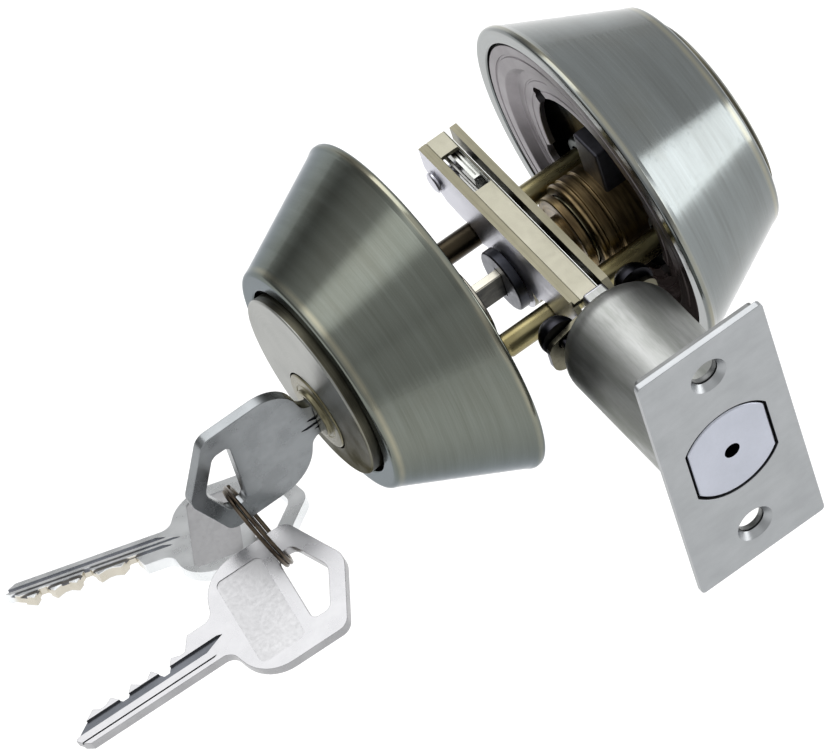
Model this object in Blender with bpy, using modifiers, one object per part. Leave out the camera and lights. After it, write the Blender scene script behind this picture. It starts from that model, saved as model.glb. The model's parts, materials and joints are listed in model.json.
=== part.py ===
"""Double-cylinder tubular deadbolt for a door, with three keys on a wire ring.

The frame stands as the lock is mounted. The origin is where the axis of the two roses
crosses the axis of the bolt. +X is the way the bolt is thrown, +Y runs through the door
from the exterior to the interior side, and +Z is up. Sizes below are in millimetres.

Each key cylinder is modelled in its own local frame: z points out of the door from the
rim of its rose, y is up, and the plug's axis lies DROP below the centre.
"""

from math import acos, cos, degrees, pi, radians, sin, tan

import bmesh
import bpy
from mathutils import Matrix, Vector

MM = 0.001
GAP = 0.3                      # space left between pieces that touch
OVERSHOOT = 1.0                # how far a cutter runs past the face it opens
MERGE = 0.00001                # metres, for every modifier that merges

# Roses: flared trim rings on both faces of the door
RIM_Y = {"exterior": -19.5, "interior": 14.3}
RIM_RADIUS = 32.3
RIM_LAND = 3.0
NOSE_RADIUS = 21.3
ROSE_HEIGHT = 23.0
ROSE_MOUTH = 18.0
ROSE_SHOULDER = 2.0            # depth of the rounded edge round the nose
ROSE_LIP = 1.6                 # height of the rounded edge at the rim
ROSE_STEPS = 40

# Plates behind the roses, as (radius, height above the rim) profiles
GUARD_RING = ((18.7, 18.3), (20.5, 18.3), (28.5, 1.5), (26.6, 1.5), (18.7, 16.6))
MOUNTING_PLATE = (
    (17.0, 3.0), (23.4, 3.0), (24.8, 1.4), (28.8, 1.4),
    (28.8, 0.2), (24.2, 0.2), (22.8, 1.8), (17.0, 1.8),
)
PLATE_NOTCHES = (38.0, 142.0, 205.0, 335.0)     # degrees round the plate
PLATE_NOTCH_RADIUS = 2.6

# Key cylinders
DROP = 6.35                    # plug axis below the centre of the rose
DISC_RADIUS = 17.3
DISC_FACE = 24.8
DISC_BACK = 20.2
FLANGE_RADIUS = 18.9
FLANGE_BACK = 18.7
CORE_RADIUS = 8.6
CORE_BACK = -4.8
BIBLE_HALF_WIDTH = 3.4
BIBLE_TOP = 11.5
BIBLE_BACK = {"exterior": -4.8, "interior": 1.0}
PLUG_RADIUS = 6.6
PLUG_HEAD_RADIUS = 7.3
PLUG_FACE = 25.1
PLUG_NOSE_RADIUS = 4.5
PLUG_NOSE_FACE = 25.9
PLUG_BACK = -5.2
KEYWAY_WIDTH = 2.6
KEYWAY_BOTTOM = -4.5           # heights in the keyway are from the plug's axis
KEYWAY_TOP = 3.8
KEYWAY_END = -3.9

# Pin stacks
PIN_COUNT = 5
FIRST_PIN = 5.9                # from the plug's face
PIN_PITCH = 3.97
PIN_RADIUS = 1.35
PIN_TIP = 1.9                  # heights from the plug's axis
KEY_PIN_TOP = 6.4
DRIVER_BOTTOM = 6.95
DRIVER_TOP = 10.4
PIN_SPRING_TOP = 15.9
PIN_SPRING_RADIUS = 0.95
PIN_SPRING_WIRE = 0.22
PIN_SPRING_TURNS = 3
CHAMBER_TOP = 16.2

# Tailpieces, and the dogs that let one plug turn without the other
TAIL_HALF_THICK = 0.8
TAIL_HALF_HEIGHT = 2.8
TAIL_CAP_RADIUS = 7.6
TAIL_CAP_THICK = 1.6
TAIL_END_Y = 3.0
DOG_INNER = 2.3
DOG_OUTER = 4.1
DOG_SPAN = 30.0                # degrees

# Hub of the cam
HUB_RADIUS = 4.1
HUB_COLLAR_RADIUS = 5.8
HUB_COLLAR = (4.3, 6.2)        # from the bolt's axis towards the exterior
HUB_FACE_Y = 4.5
HUB_DOG_TOP_Y = 6.0

# Screws that clamp the two cylinders to the door
SCREW_X = 11.5
SCREW_RADIUS = 2.25
SCREW_HEAD_RADIUS = 3.25
SCREW_HEAD = 2.2
POST_RADIUS = 3.9
POST_BACK = {"exterior": 1.0, "interior": 4.5}
SCREW_END = 12.0               # in the exterior cylinder's frame
POST_DEPTH = 14.0

# Latch
BACKSET = 60.0
KEY_TURN = 132.0               # degrees, from bolt drawn to bolt thrown
REST_ARM = KEY_TURN / 2        # degrees from upright, towards -X
HUB_DOG_ANGLE = 90.0           # at rest the hub's dog points up
INTERIOR_DOG_ANGLE = 270.0 + REST_ARM
ARM_RADIUS = 10.95             # hub axis to arm pin; 2 * 10.95 * sin(66) = 20 mm of throw
ARM_PIN_RADIUS = 0.75
ARM_LAYER = (-2.5, -0.75)      # along Y, between the case and the cover
TAIL_LAYER = (-0.35, 1.9)
ARM_PIN_END = 0.75
TAIL_BACK_SHEET = 0.85
TAIL_Z = (-1.95, 5.2)
TAIL_REAR = -21.5
TAIL_FRONT = 35.7
TAIL_GROOVE_HALF = 2.1
TAIL_FORK_X = -18.0            # the fork at the rear clears the case rivet
TAIL_FORK_Z = (-0.7, 2.3)
TAIL_SLOTS = ((0.5, 6.0), (8.5, 14.0))
CASE_TOP = 6.4
CASE_REAR = -23.0
CASE_FRONT = 22.0
CASE_SHEET = 0.75
WEB_LAYER = (-4.0, -2.9)
COVER_LAYER = (2.5, 3.9)
SLAB_EDGE = 1.5
CASE_WINDOW = ((-18.7, -2.3), (-8.8, 1.2))
CASE_RIVETS = ((-19.6, 0.8), (17.6, -5.0))      # along X and Z
CASE_RIVET_RADIUS = 1.1
SPRING_HEIGHT = 4.4
SPRING_WIRE = 0.35
SPRING_LEGS = (-2.0, -1.0)     # along Y
FLARE_REACH = 11.0
FLARE_X = (22.5, 23.5)
RIVET_Y = 7.85
RIVET_Z = 1.5
RIVET_DOME = 3.5
RIVET_SHANK = 0.9
BARREL_RADIUS = 10.8
BARREL_WALL = 0.7
BARREL_REAR = 24.0
BARREL_FRONT = 57.1
NECK_HALF_WIDTH = 2.2
NECK_HEIGHT = (5.0, 8.0)
BOLT_RADIUS = 9.55
BOLT_HALF_WIDTH = 7.8
BOLT_REAR = 28.0
BOLT_BORE = 1.5
FACE_WIDTH = 25.4
FACE_HEIGHT = 57.15
FACE_THICK = 1.2
FACE_CORNER = 0.8
FACE_SCREW_Z = 20.64
FACE_HOLE_RADIUS = 2.4
FACE_SINK_RADIUS = 3.5
BACKING_THICK = 1.0
BACKING_INSET = 0.9
MOUTH_RADIUS = 10.05
MOUTH_HALF_WIDTH = 8.25

# Keys: l runs from the tip to the end of the bow, w across it towards the cuts
KEY_THICK = 2.0
BLADE_LENGTH = 28.4
BLADE_LOW = -4.2
BLADE_HIGH = 3.5
KEY_RIDGE = 1.45               # height left between two cuts
BOW_NEAR = 3.6                 # from the shoulder
BOW_FAR = 20.0
BOW_TIP = 25.6
BOW_HALF_WIDTH = 12.2
BOW_START = 1.2
BOW_NEAR_RADIUS = 7.5
HOLE_NEAR = 15.6
HOLE_FAR = 22.4
HOLE_HALF_WIDTH = 7.4
KEY_CUTS = {
    "key_1": (0.6, -0.4, 0.9, -0.8, 0.2),
    "key_2": (-0.2, 0.8, -0.9, 0.5, -0.5),
    "key_3": (0.9, -0.7, 0.3, -0.3, 0.7),
}
RING_RADIUS = 8.2
RING_WIRE = 0.7
RING_CENTRE = (5.0, -62.8, -16.3)
RING_NORMAL = (-0.077, -0.963, -0.257)
HANGING_KEYS = {                # tip of the blade, then the directions along and across the key
    "key_2": ((-20.4, -100.5, -28.8), (0.403, 0.910, 0.097), (0.863, -0.413, 0.291)),
    "key_3": ((11.0, -107.6, -26.3), (0.169, 0.970, 0.177), (-0.986, 0.166, 0.036)),
}

COLOURS = {
    "rose_nickel": ((0.40, 0.40, 0.37), 0.32, 1.0),
    "satin_disc": ((0.55, 0.55, 0.52), 0.38, 1.0),
    "brass": ((0.55, 0.42, 0.22), 0.35, 1.0),
    "zinc": ((0.42, 0.42, 0.42), 0.45, 1.0),
    "steel": ((0.62, 0.63, 0.64), 0.35, 1.0),
    "case_yellow_zinc": ((0.60, 0.57, 0.43), 0.35, 1.0),
    "black_oxide": ((0.03, 0.03, 0.04), 0.45, 0.6),
    "screw_olive": ((0.36, 0.32, 0.18), 0.40, 1.0),
    "key_nickel": ((0.66, 0.67, 0.68), 0.28, 1.0),
    "ring_bronze": ((0.16, 0.12, 0.09), 0.35, 1.0),
}


# ---------------------------------------------------------------- scene helpers

def new_collection(name):
    collection = bpy.data.collections.new(name)
    bpy.context.scene.collection.children.link(collection)
    return collection


def new_material(name, colour, roughness, metallic):
    made = bpy.data.materials.new(name)
    made.use_nodes = True
    shader = made.node_tree.nodes["Principled BSDF"]
    shader.inputs["Base Color"].default_value = (*colour, 1.0)
    shader.inputs["Roughness"].default_value = roughness
    shader.inputs["Metallic"].default_value = metallic
    return made


for old in list(bpy.data.objects):
    bpy.data.objects.remove(old, do_unlink=True)
PARTS = new_collection("deadbolt_lock")
CUTTERS = new_collection("cutters")
MATERIALS = {name: new_material(name, *look) for name, look in COLOURS.items()}


def link_part(obj, colour):
    PARTS.objects.link(obj)
    obj.data.materials.clear()
    obj.data.materials.append(MATERIALS[colour])
    return obj


def link_cutter(obj):
    CUTTERS.objects.link(obj)
    obj.hide_render = True
    obj.display_type = "WIRE"
    return obj


def cut(target, cutter, operation="DIFFERENCE"):
    modifier = target.modifiers.new(cutter.name, "BOOLEAN")
    modifier.operation = operation
    modifier.solver = "EXACT"
    modifier.object = cutter
    return target


def join(target, piece):
    return cut(target, piece, "UNION")


# ---------------------------------------------------------------- shape helpers

def side_frame(side):
    """Local frame of one key cylinder: x across, y up, z out of the door."""
    out = -1.0 if side == "exterior" else 1.0
    frame = Matrix(((-out, 0, 0, 0), (0, 0, out, RIM_Y[side] * MM), (0, 1, 0, 0), (0, 0, 0, 1)))
    return frame


WORLD = Matrix.Identity(4)
ALONG_X = Matrix.Rotation(pi / 2, 4, "Y")          # local z becomes world +X
ALONG_MINUS_X = Matrix.Rotation(-pi / 2, 4, "Y")
ALONG_Y = Matrix.Rotation(-pi / 2, 4, "X")         # local z becomes world +Y
IN_XZ = Matrix.Rotation(pi / 2, 4, "X")            # local (x, y) lies in world (x, z), z is -Y
ACROSS = Matrix(((0, 0, 1, 0), (1, 0, 0, 0), (0, 1, 0, 0), (0, 0, 0, 1)))   # (x, y, z) is world (Y, Z, X)


def at(x, y, z):
    return Matrix.Translation(Vector((x, y, z)) * MM)


def mesh_object(name, mesh, matrix):
    obj = bpy.data.objects.new(name, mesh)
    obj.matrix_world = matrix
    return obj


def turned(name, profile, matrix=WORLD, steps=24):
    """Turn a profile of (radius, height) points about the local z axis."""
    mesh = bpy.data.meshes.new(name)
    closed = profile[0][0] > 0 and profile[-1][0] > 0
    count = len(profile)
    edges = [(i, i + 1) for i in range(count - 1)]
    if closed:
        edges.append((count - 1, 0))
    mesh.from_pydata([(r * MM, 0, z * MM) for r, z in profile], edges, [])
    obj = mesh_object(name, mesh, matrix)
    screw = obj.modifiers.new("Turn", "SCREW")
    screw.steps = steps
    screw.render_steps = steps
    screw.use_merge_vertices = True
    screw.merge_threshold = MERGE
    return obj


def rod(name, radius, low, high, matrix=WORLD, steps=16):
    """A round bar from low to high on the local z axis."""
    return turned(name, [(0, high), (radius, high), (radius, low), (0, low)], matrix, steps)


def box(name, low, high, matrix=WORLD):
    mesh = bpy.data.meshes.new(name)
    shape = bmesh.new()
    bmesh.ops.create_cube(shape, size=1.0)
    size = [(b - a) * MM for a, b in zip(low, high)]
    centre = Vector([(a + b) / 2 * MM for a, b in zip(low, high)])
    bmesh.ops.scale(shape, vec=size, verts=shape.verts)
    bmesh.ops.translate(shape, vec=centre, verts=shape.verts)
    shape.to_mesh(mesh)
    shape.free()
    return mesh_object(name, mesh, matrix)


def arc(centre, radius, start, end, count):
    """Points on an arc, from start to end degrees."""
    angles = [radians(start + (end - start) * i / count) for i in range(count + 1)]
    return [(centre[0] + radius * cos(a), centre[1] + radius * sin(a)) for a in angles]


def rounded(corners, count=4):
    """An outline from (x, y, radius) corners, with each corner rounded by its radius."""
    outline = []
    for i, (x, y, radius) in enumerate(corners):
        here = Vector((x, y))
        before = Vector(corners[i - 1][:2]) - here
        after = Vector(corners[(i + 1) % len(corners)][:2]) - here
        if radius <= 0:
            outline.append((x, y))
            continue
        half = before.angle(after) / 2
        reach = radius / tan(half)
        first = here + before.normalized() * reach
        last = here + after.normalized() * reach
        centre = here + (before.normalized() + after.normalized()).normalized() * radius / sin(half)
        start = first - centre
        turn = start.angle_signed(last - centre)
        for step in range(count + 1):
            spoke = Matrix.Rotation(-turn * step / count, 2) @ start
            outline.append(tuple(centre + spoke))
    return outline


def mesh_from_curve(curve_object):
    """Replace a curve by its mesh, with the caps welded on."""
    bpy.context.scene.collection.objects.link(curve_object)
    bpy.context.view_layer.update()
    graph = bpy.context.evaluated_depsgraph_get()
    mesh = bpy.data.meshes.new_from_object(curve_object.evaluated_get(graph))
    mesh.name = curve_object.name
    shape = bmesh.new()
    shape.from_mesh(mesh)
    bmesh.ops.remove_doubles(shape, verts=shape.verts, dist=MERGE)
    bmesh.ops.recalc_face_normals(shape, faces=shape.faces)
    shape.to_mesh(mesh)
    shape.free()
    name, matrix = curve_object.name, curve_object.matrix_world.copy()
    bpy.data.objects.remove(curve_object, do_unlink=True)
    return mesh_object(name, mesh, matrix)


def add_spline(curve, points, closed):
    spline = curve.splines.new("POLY")
    spline.points.add(len(points) - 1)
    for target, point in zip(spline.points, points):
        flat = [value * MM for value in point] + [0.0] * (3 - len(point))
        target.co = (*flat, 1.0)
    spline.use_cyclic_u = closed


def sheet(name, outlines, low, high, matrix=WORLD):
    """A flat plate: the first outline is its edge, and the others are openings in it.

    The outlines lie in the local xy plane, and the plate runs from low to high on z.
    """
    curve = bpy.data.curves.new(name, "CURVE")
    curve.dimensions = "2D"
    curve.fill_mode = "BOTH"
    curve.extrude = (high - low) / 2 * MM
    for outline in outlines:
        add_spline(curve, outline, True)
    obj = bpy.data.objects.new(name, curve)
    obj.matrix_world = matrix @ at(0, 0, (low + high) / 2)
    return mesh_from_curve(obj)


def wire(name, points, radius, matrix=WORLD):
    """A wire or coil along points, with filled ends."""
    curve = bpy.data.curves.new(name, "CURVE")
    curve.dimensions = "3D"
    curve.bevel_depth = radius * MM
    curve.bevel_resolution = 2
    curve.use_fill_caps = True
    add_spline(curve, points, False)
    obj = bpy.data.objects.new(name, curve)
    obj.matrix_world = matrix
    return mesh_from_curve(obj)


def smooth(obj):
    obj.data.shade_smooth()
    obj.data.set_sharp_from_angle(angle=radians(35))


# ---------------------------------------------------------------- roses

def rose(side):
    slope = (RIM_RADIUS - NOSE_RADIUS) / ROSE_HEIGHT
    shoulder, lip = ROSE_SHOULDER, ROSE_LIP
    inner_rim = RIM_RADIUS - RIM_LAND
    front_wall = ROSE_HEIGHT - 2.1
    profile = [
        (ROSE_MOUTH, ROSE_HEIGHT - 0.3),
        (ROSE_MOUTH + 0.3, ROSE_HEIGHT),
        (NOSE_RADIUS - 0.9, ROSE_HEIGHT),
        (NOSE_RADIUS - 0.1, ROSE_HEIGHT - 0.5),
        (NOSE_RADIUS + slope * shoulder - 0.3, ROSE_HEIGHT - 1.2),
        (NOSE_RADIUS + slope * shoulder + 0.2, ROSE_HEIGHT - shoulder),
        (RIM_RADIUS - slope * lip + 0.3, lip + 0.4),
        (RIM_RADIUS, lip - 0.6),
        (RIM_RADIUS - 0.4, 0.3),
        (RIM_RADIUS - 1.1, 0.0),
        (inner_rim, 0.0),
        (inner_rim - 0.1, 1.2),
        (ROSE_MOUTH + 1.9, front_wall),
        (ROSE_MOUTH, front_wall),
    ]
    return link_part(turned(side + "_rose", profile, side_frame(side), ROSE_STEPS), "rose_nickel")


def guard_ring():
    """Hardened liner between the exterior rose and its cylinder, against wrenches and saws."""
    ring = turned("exterior_guard_ring", GUARD_RING, side_frame("exterior"), ROSE_STEPS)
    return link_part(ring, "steel")


def mounting_plate():
    """Pressed plate that carries the interior rose against the door."""
    frame = side_frame("interior")
    plate = link_part(turned("interior_mounting_plate", MOUNTING_PLATE, frame, ROSE_STEPS), "steel")
    inner, top = MOUNTING_PLATE[0]
    for angle in PLATE_NOTCHES:
        centre = at(inner * cos(radians(angle)), inner * sin(radians(angle)), 0)
        notch = rod("plate_notch_%d" % angle, PLATE_NOTCH_RADIUS, 0.5, top + OVERSHOOT, frame @ centre, 12)
        cut(plate, link_cutter(notch))
    return plate


# ---------------------------------------------------------------- key cylinders

def pin_depths():
    """Distance of each pin's axis from the rim, first pin nearest the plug's face."""
    return [PLUG_FACE - FIRST_PIN - PIN_PITCH * i for i in range(PIN_COUNT)]


def upright(depth, height):
    """Frame whose z axis points up a pin chamber, from a height above the plug's axis."""
    return at(0, height - DROP, depth) @ Matrix.Rotation(-pi / 2, 4, "X")


def cylinder_body(side):
    frame = side_frame(side)
    profile = [
        (0, DISC_FACE),
        (DISC_RADIUS - 0.5, DISC_FACE),
        (DISC_RADIUS, DISC_FACE - 0.5),
        (DISC_RADIUS, DISC_BACK),
        (FLANGE_RADIUS, DISC_BACK),
        (FLANGE_RADIUS, FLANGE_BACK),
        (0, FLANGE_BACK),
    ]
    body = link_part(turned(side + "_cylinder_body", profile, frame, 32), "satin_disc")
    on_axis = frame @ at(0, -DROP, 0)
    join(body, link_cutter(rod(side + "_core", CORE_RADIUS, CORE_BACK, 19.4, on_axis, 32)))
    bible = box(side + "_bible", (-BIBLE_HALF_WIDTH, -DROP, BIBLE_BACK[side]),
                (BIBLE_HALF_WIDTH, BIBLE_TOP, 19.6), frame)
    join(body, link_cutter(bible))
    for x in (-SCREW_X, SCREW_X):
        on_screw = frame @ at(x, -DROP, 0)
        tag = "%s_%s" % (side, "left" if x < 0 else "right")
        join(body, link_cutter(rod(tag + "_post", POST_RADIUS, POST_BACK[side], 19.2, on_screw, 20)))
        if side == "exterior":
            hole = rod(tag + "_thread", SCREW_RADIUS + GAP, -OVERSHOOT, POST_DEPTH, on_screw)
            cut(body, link_cutter(hole))
        else:
            hole = rod(tag + "_hole", SCREW_RADIUS + GAP, -OVERSHOOT, 26.0, on_screw)
            seat = rod(tag + "_seat", SCREW_HEAD_RADIUS + GAP, DISC_FACE - SCREW_HEAD - GAP, 26.0,
                       on_screw, 20)
            cut(body, link_cutter(hole))
            cut(body, link_cutter(seat))
    bore = rod(side + "_bore", PLUG_RADIUS + GAP, CORE_BACK - OVERSHOOT, 26.0, on_axis, 32)
    mouth = rod(side + "_mouth", PLUG_HEAD_RADIUS + GAP, 23.2, 26.0, on_axis, 32)
    cut(body, link_cutter(bore))
    cut(body, link_cutter(mouth))
    for i, depth in enumerate(pin_depths()):
        chamber = rod("%s_chamber_%d" % (side, i + 1), PIN_RADIUS + GAP, 2.0, CHAMBER_TOP,
                      frame @ upright(depth, 0), 10)
        cut(body, link_cutter(chamber))
    return body


def plug(side):
    frame = side_frame(side) @ at(0, -DROP, 0)
    profile = [
        (0, PLUG_NOSE_FACE),
        (PLUG_NOSE_RADIUS - 0.4, PLUG_NOSE_FACE),
        (PLUG_NOSE_RADIUS, PLUG_NOSE_FACE - 0.4),
        (PLUG_NOSE_RADIUS, PLUG_FACE),
        (PLUG_HEAD_RADIUS - 0.3, PLUG_FACE),
        (PLUG_HEAD_RADIUS, PLUG_FACE - 0.3),
        (PLUG_HEAD_RADIUS, 23.5),
        (PLUG_RADIUS, 23.5),
        (PLUG_RADIUS, PLUG_BACK),
        (0, PLUG_BACK),
    ]
    made = link_part(turned(side + "_plug", profile, frame, 32), "brass")
    keyway = box(side + "_keyway", (-KEYWAY_WIDTH / 2, KEYWAY_BOTTOM, KEYWAY_END),
                 (KEYWAY_WIDTH / 2, KEYWAY_TOP, PLUG_NOSE_FACE + OVERSHOOT), frame)
    cut(made, link_cutter(keyway))
    for i, depth in enumerate(pin_depths()):
        hole = rod("%s_plug_hole_%d" % (side, i + 1), PIN_RADIUS + GAP, 0.4, 8.0,
                   side_frame(side) @ upright(depth, 0), 10)
        cut(made, link_cutter(hole))
    return made


def pin_stacks(side):
    frame = side_frame(side)
    for i, depth in enumerate(pin_depths()):
        base = frame @ upright(depth, 0)
        pointed = [
            (0, KEY_PIN_TOP),
            (PIN_RADIUS, KEY_PIN_TOP),
            (PIN_RADIUS, PIN_TIP + 0.8),
            (0.5, PIN_TIP),
            (0, PIN_TIP),
        ]
        link_part(turned("%s_key_pin_%d" % (side, i + 1), pointed, base, 10), "brass")
        driver = rod("%s_driver_pin_%d" % (side, i + 1), PIN_RADIUS, DRIVER_BOTTOM, DRIVER_TOP, base, 10)
        link_part(driver, "steel")
        low = DRIVER_TOP + PIN_SPRING_WIRE + 0.12
        high = PIN_SPRING_TOP - PIN_SPRING_WIRE
        steps = PIN_SPRING_TURNS * 6
        coil = []
        for step in range(steps + 1):
            angle = 2 * pi * PIN_SPRING_TURNS * step / steps
            height = low + (high - low) * step / steps
            coil.append((PIN_SPRING_RADIUS * cos(angle), PIN_SPRING_RADIUS * sin(angle), height))
        link_part(wire("%s_pin_spring_%d" % (side, i + 1), coil, PIN_SPRING_WIRE, base), "steel")


def dog(name, centre_angle, low, high, matrix):
    """A driving dog: one sector of a ring, about the local z axis."""
    start, end = centre_angle - DOG_SPAN / 2, centre_angle + DOG_SPAN / 2
    outline = arc((0, 0), DOG_OUTER, start, end, 3) + arc((0, 0), DOG_INNER, end, start, 3)
    return sheet(name, [outline], low, high, matrix)


def tailpiece(side):
    """Retaining cap on the plug's back end, with the flat bar that reaches the cam."""
    frame = side_frame(side) @ at(0, -DROP, 0)
    cap_top = PLUG_BACK - GAP
    cap_low = cap_top - TAIL_CAP_THICK
    made = link_part(rod(side + "_tailpiece", TAIL_CAP_RADIUS, cap_low, cap_top, frame, 28), "steel")
    if side == "exterior":
        end = RIM_Y[side] - TAIL_END_Y
        bar = box(side + "_bar", (-TAIL_HALF_THICK, -TAIL_HALF_HEIGHT, end),
                  (TAIL_HALF_THICK, TAIL_HALF_HEIGHT, cap_low + 0.8), frame)
        join(made, link_cutter(bar))
    else:
        plate_low = HUB_DOG_TOP_Y + 2 * GAP - RIM_Y[side]
        stem = rod(side + "_dog_plate", DOG_OUTER, plate_low - 0.2, cap_low + 0.8, frame, 20)
        join(made, link_cutter(stem))
        lug = dog(side + "_dog", INTERIOR_DOG_ANGLE, HUB_FACE_Y + GAP - RIM_Y[side], plate_low + 0.5,
                  frame)
        join(made, link_cutter(lug))
    return made


# ---------------------------------------------------------------- latch

def cam_hub():
    """Hub turned by the tailpiece, with the arm whose pin drives the bolt."""
    frame = at(0, 0, -DROP) @ IN_XZ          # local z is world -Y, local y is up
    low, high = HUB_COLLAR
    profile = [
        (0, high),
        (HUB_COLLAR_RADIUS - 0.5, high),
        (HUB_COLLAR_RADIUS, high - 0.5),
        (HUB_COLLAR_RADIUS, low),
        (HUB_RADIUS, low),
        (HUB_RADIUS, -HUB_FACE_Y),
        (0, -HUB_FACE_Y),
    ]
    hub = link_part(turned("cam_hub", profile, frame, 24), "black_oxide")
    low, high = ARM_LAYER
    tip = ARM_PIN_RADIUS
    root = HUB_RADIUS - 0.4
    outline = [(-root, 0)] + arc((0, ARM_RADIUS), tip, 170, 10, 4) + [(root, 0)]
    swing = frame @ Matrix.Rotation(radians(REST_ARM), 4, "Z")
    join(hub, link_cutter(sheet("cam_arm", [outline], -high, -low, swing)))
    pin = rod("cam_arm_pin", ARM_PIN_RADIUS - 0.02, -ARM_PIN_END, -low - 0.4,
              swing @ at(0, ARM_RADIUS, 0), 12)
    join(hub, link_cutter(pin))
    lug = dog("cam_dog", HUB_DOG_ANGLE, -HUB_DOG_TOP_Y, -HUB_FACE_Y + 0.5, frame)
    join(hub, link_cutter(lug))
    slot = box("cam_slot", (-TAIL_HALF_THICK - GAP, -TAIL_HALF_HEIGHT - GAP, -TAIL_END_Y - GAP),
               (TAIL_HALF_THICK + GAP, TAIL_HALF_HEIGHT + GAP, 7.0), frame)
    return cut(hub, link_cutter(slot))


def bolt_tail():
    """Slide that carries the bolt, with a groove across it for the arm's pin."""
    groove = -ARM_RADIUS * sin(radians(REST_ARM))
    tail = box("bolt_tail", (TAIL_REAR, TAIL_LAYER[0], TAIL_Z[0]),
               (TAIL_FRONT, TAIL_LAYER[1], TAIL_Z[1]))
    link_part(tail, "steel")
    channel = box("tail_groove",
                  (groove - TAIL_GROOVE_HALF, TAIL_LAYER[0] - OVERSHOOT, TAIL_Z[0] - OVERSHOOT),
                  (groove + TAIL_GROOVE_HALF, TAIL_LAYER[1] - TAIL_BACK_SHEET, TAIL_Z[1] + OVERSHOOT))
    cut(tail, link_cutter(channel))
    fork = box("tail_fork", (TAIL_REAR - OVERSHOOT, TAIL_LAYER[0] - OVERSHOOT, TAIL_FORK_Z[0]),
               (TAIL_FORK_X, TAIL_LAYER[1] + OVERSHOOT, TAIL_FORK_Z[1]))
    cut(tail, link_cutter(fork))
    for start, end in TAIL_SLOTS:
        slot = box("tail_slot_%d" % start, (start, TAIL_LAYER[0] - OVERSHOOT, 0.8),
                   (end, TAIL_LAYER[1] + OVERSHOOT, 3.2))
        cut(tail, link_cutter(slot))
    return tail


def plate_outline():
    """Side of the latch case: hub lobe, notches for the two screws, and a sloped rear corner."""
    notch = SCREW_RADIUS + 0.75
    left = arc((-SCREW_X, -DROP), notch, 118, 8, 6)
    lobe = arc((0, -DROP), 6.6, 168, 372, 14)
    right = arc((SCREW_X, -DROP), notch, 172, 25, 6)
    outline = [(CASE_REAR, CASE_TOP), (CASE_REAR, 1.5), (-18.0, -3.2)] + left + lobe + right
    front = FLARE_X[1]
    outline += [(15.2, -7.6), (front, -7.6), (front, 4.4), (CASE_FRONT - 0.8, CASE_TOP)]
    return outline


def latch_side(name, layer, colour):
    """One side of the case, with its hub hole, rivet holes and the flare against the barrel."""
    hub_hole = arc((0, -DROP), HUB_RADIUS + GAP, 360, 15, 23)
    rivets = [arc(centre, CASE_RIVET_RADIUS + GAP, 360, 30, 11) for centre in CASE_RIVETS]
    plate = sheet(name, [plate_outline(), hub_hole] + rivets, -layer[1], -layer[0], IN_XZ)
    link_part(plate, colour)
    outward, tag = (-1.0, "exterior") if layer[1] < 0 else (1.0, "interior")
    inner = outward * min(abs(layer[0]), abs(layer[1]))
    reach = outward * FLARE_REACH
    corners = [(inner, -5.0, 0.0), (reach, -5.0, 2.5), (reach, 2.0, 2.0), (inner, 4.4, 0.0)]
    flare = sheet(tag + "_flare", [rounded(corners)], *FLARE_X, ACROSS)
    join(plate, link_cutter(flare))
    hole = rod(tag + "_flare_hole", RIVET_SHANK + GAP, FLARE_X[0] - 1, FLARE_X[1] + 1,
               at(0, outward * RIVET_Y, RIVET_Z) @ ALONG_X, 12)
    return cut(plate, link_cutter(hole))


def latch_case():
    case = latch_side("latch_case", WEB_LAYER, "case_yellow_zinc")
    slab = box("case_slab", (CASE_REAR + 0.02, WEB_LAYER[0] + 0.3, CASE_TOP - CASE_SHEET),
               (CASE_FRONT - 0.02, SLAB_EDGE, CASE_TOP + 0.15))
    join(case, link_cutter(slab))
    low, high = CASE_WINDOW
    window = box("case_window", (*low, 0), (*high, CASE_TOP + 2))
    return cut(case, link_cutter(window))


def rivet(name, centre):
    """Tie rivet through both sides of the case."""
    shank, head = CASE_RIVET_RADIUS, 2.0
    front = GAP - WEB_LAYER[0]
    back = -GAP - COVER_LAYER[1]
    profile = [
        (0, front + 0.6),
        (head - 0.6, front + 0.4),
        (head, front),
        (shank, front),
        (shank, back),
        (head, back),
        (head - 0.6, back - 0.4),
        (0, back - 0.6),
    ]
    return link_part(turned(name, profile, at(centre[0], 0, centre[1]) @ IN_XZ, 12), "steel")


def barrel_rivet(name, y):
    """Domed rivet that holds a flare of the case to the rear wall of the barrel."""
    dome = [(radius, height + 0.3) for radius, height in arc((0, 0), RIVET_DOME, 90, 0, 5)]
    dome[0] = (0, dome[0][1])
    start = FLARE_X[0] - GAP
    end = start - BARREL_REAR - 1.7
    profile = dome + [(RIVET_DOME, 0), (RIVET_SHANK, 0), (RIVET_SHANK, end), (0, end)]
    frame = at(start, y, RIVET_Z) @ ALONG_MINUS_X
    return link_part(turned(name, profile, frame, 20), "black_oxide")


def detent_spring():
    """Hairpin of spring wire beside the slide, under the window of the case."""
    bend, end = -19.6, -8.5
    first, second = SPRING_LEGS
    radius = (second - first) / 2
    loop = [(bend - x, first + radius + y) for x, y in arc((0, 0), radius, -60, 60, 4)]
    flat = [(end, first), (bend, first)] + loop + [(bend, second), (end, second)]
    points = [(x, y, SPRING_HEIGHT) for x, y in flat]
    return link_part(wire("detent_spring", points, SPRING_WIRE), "steel")


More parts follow.
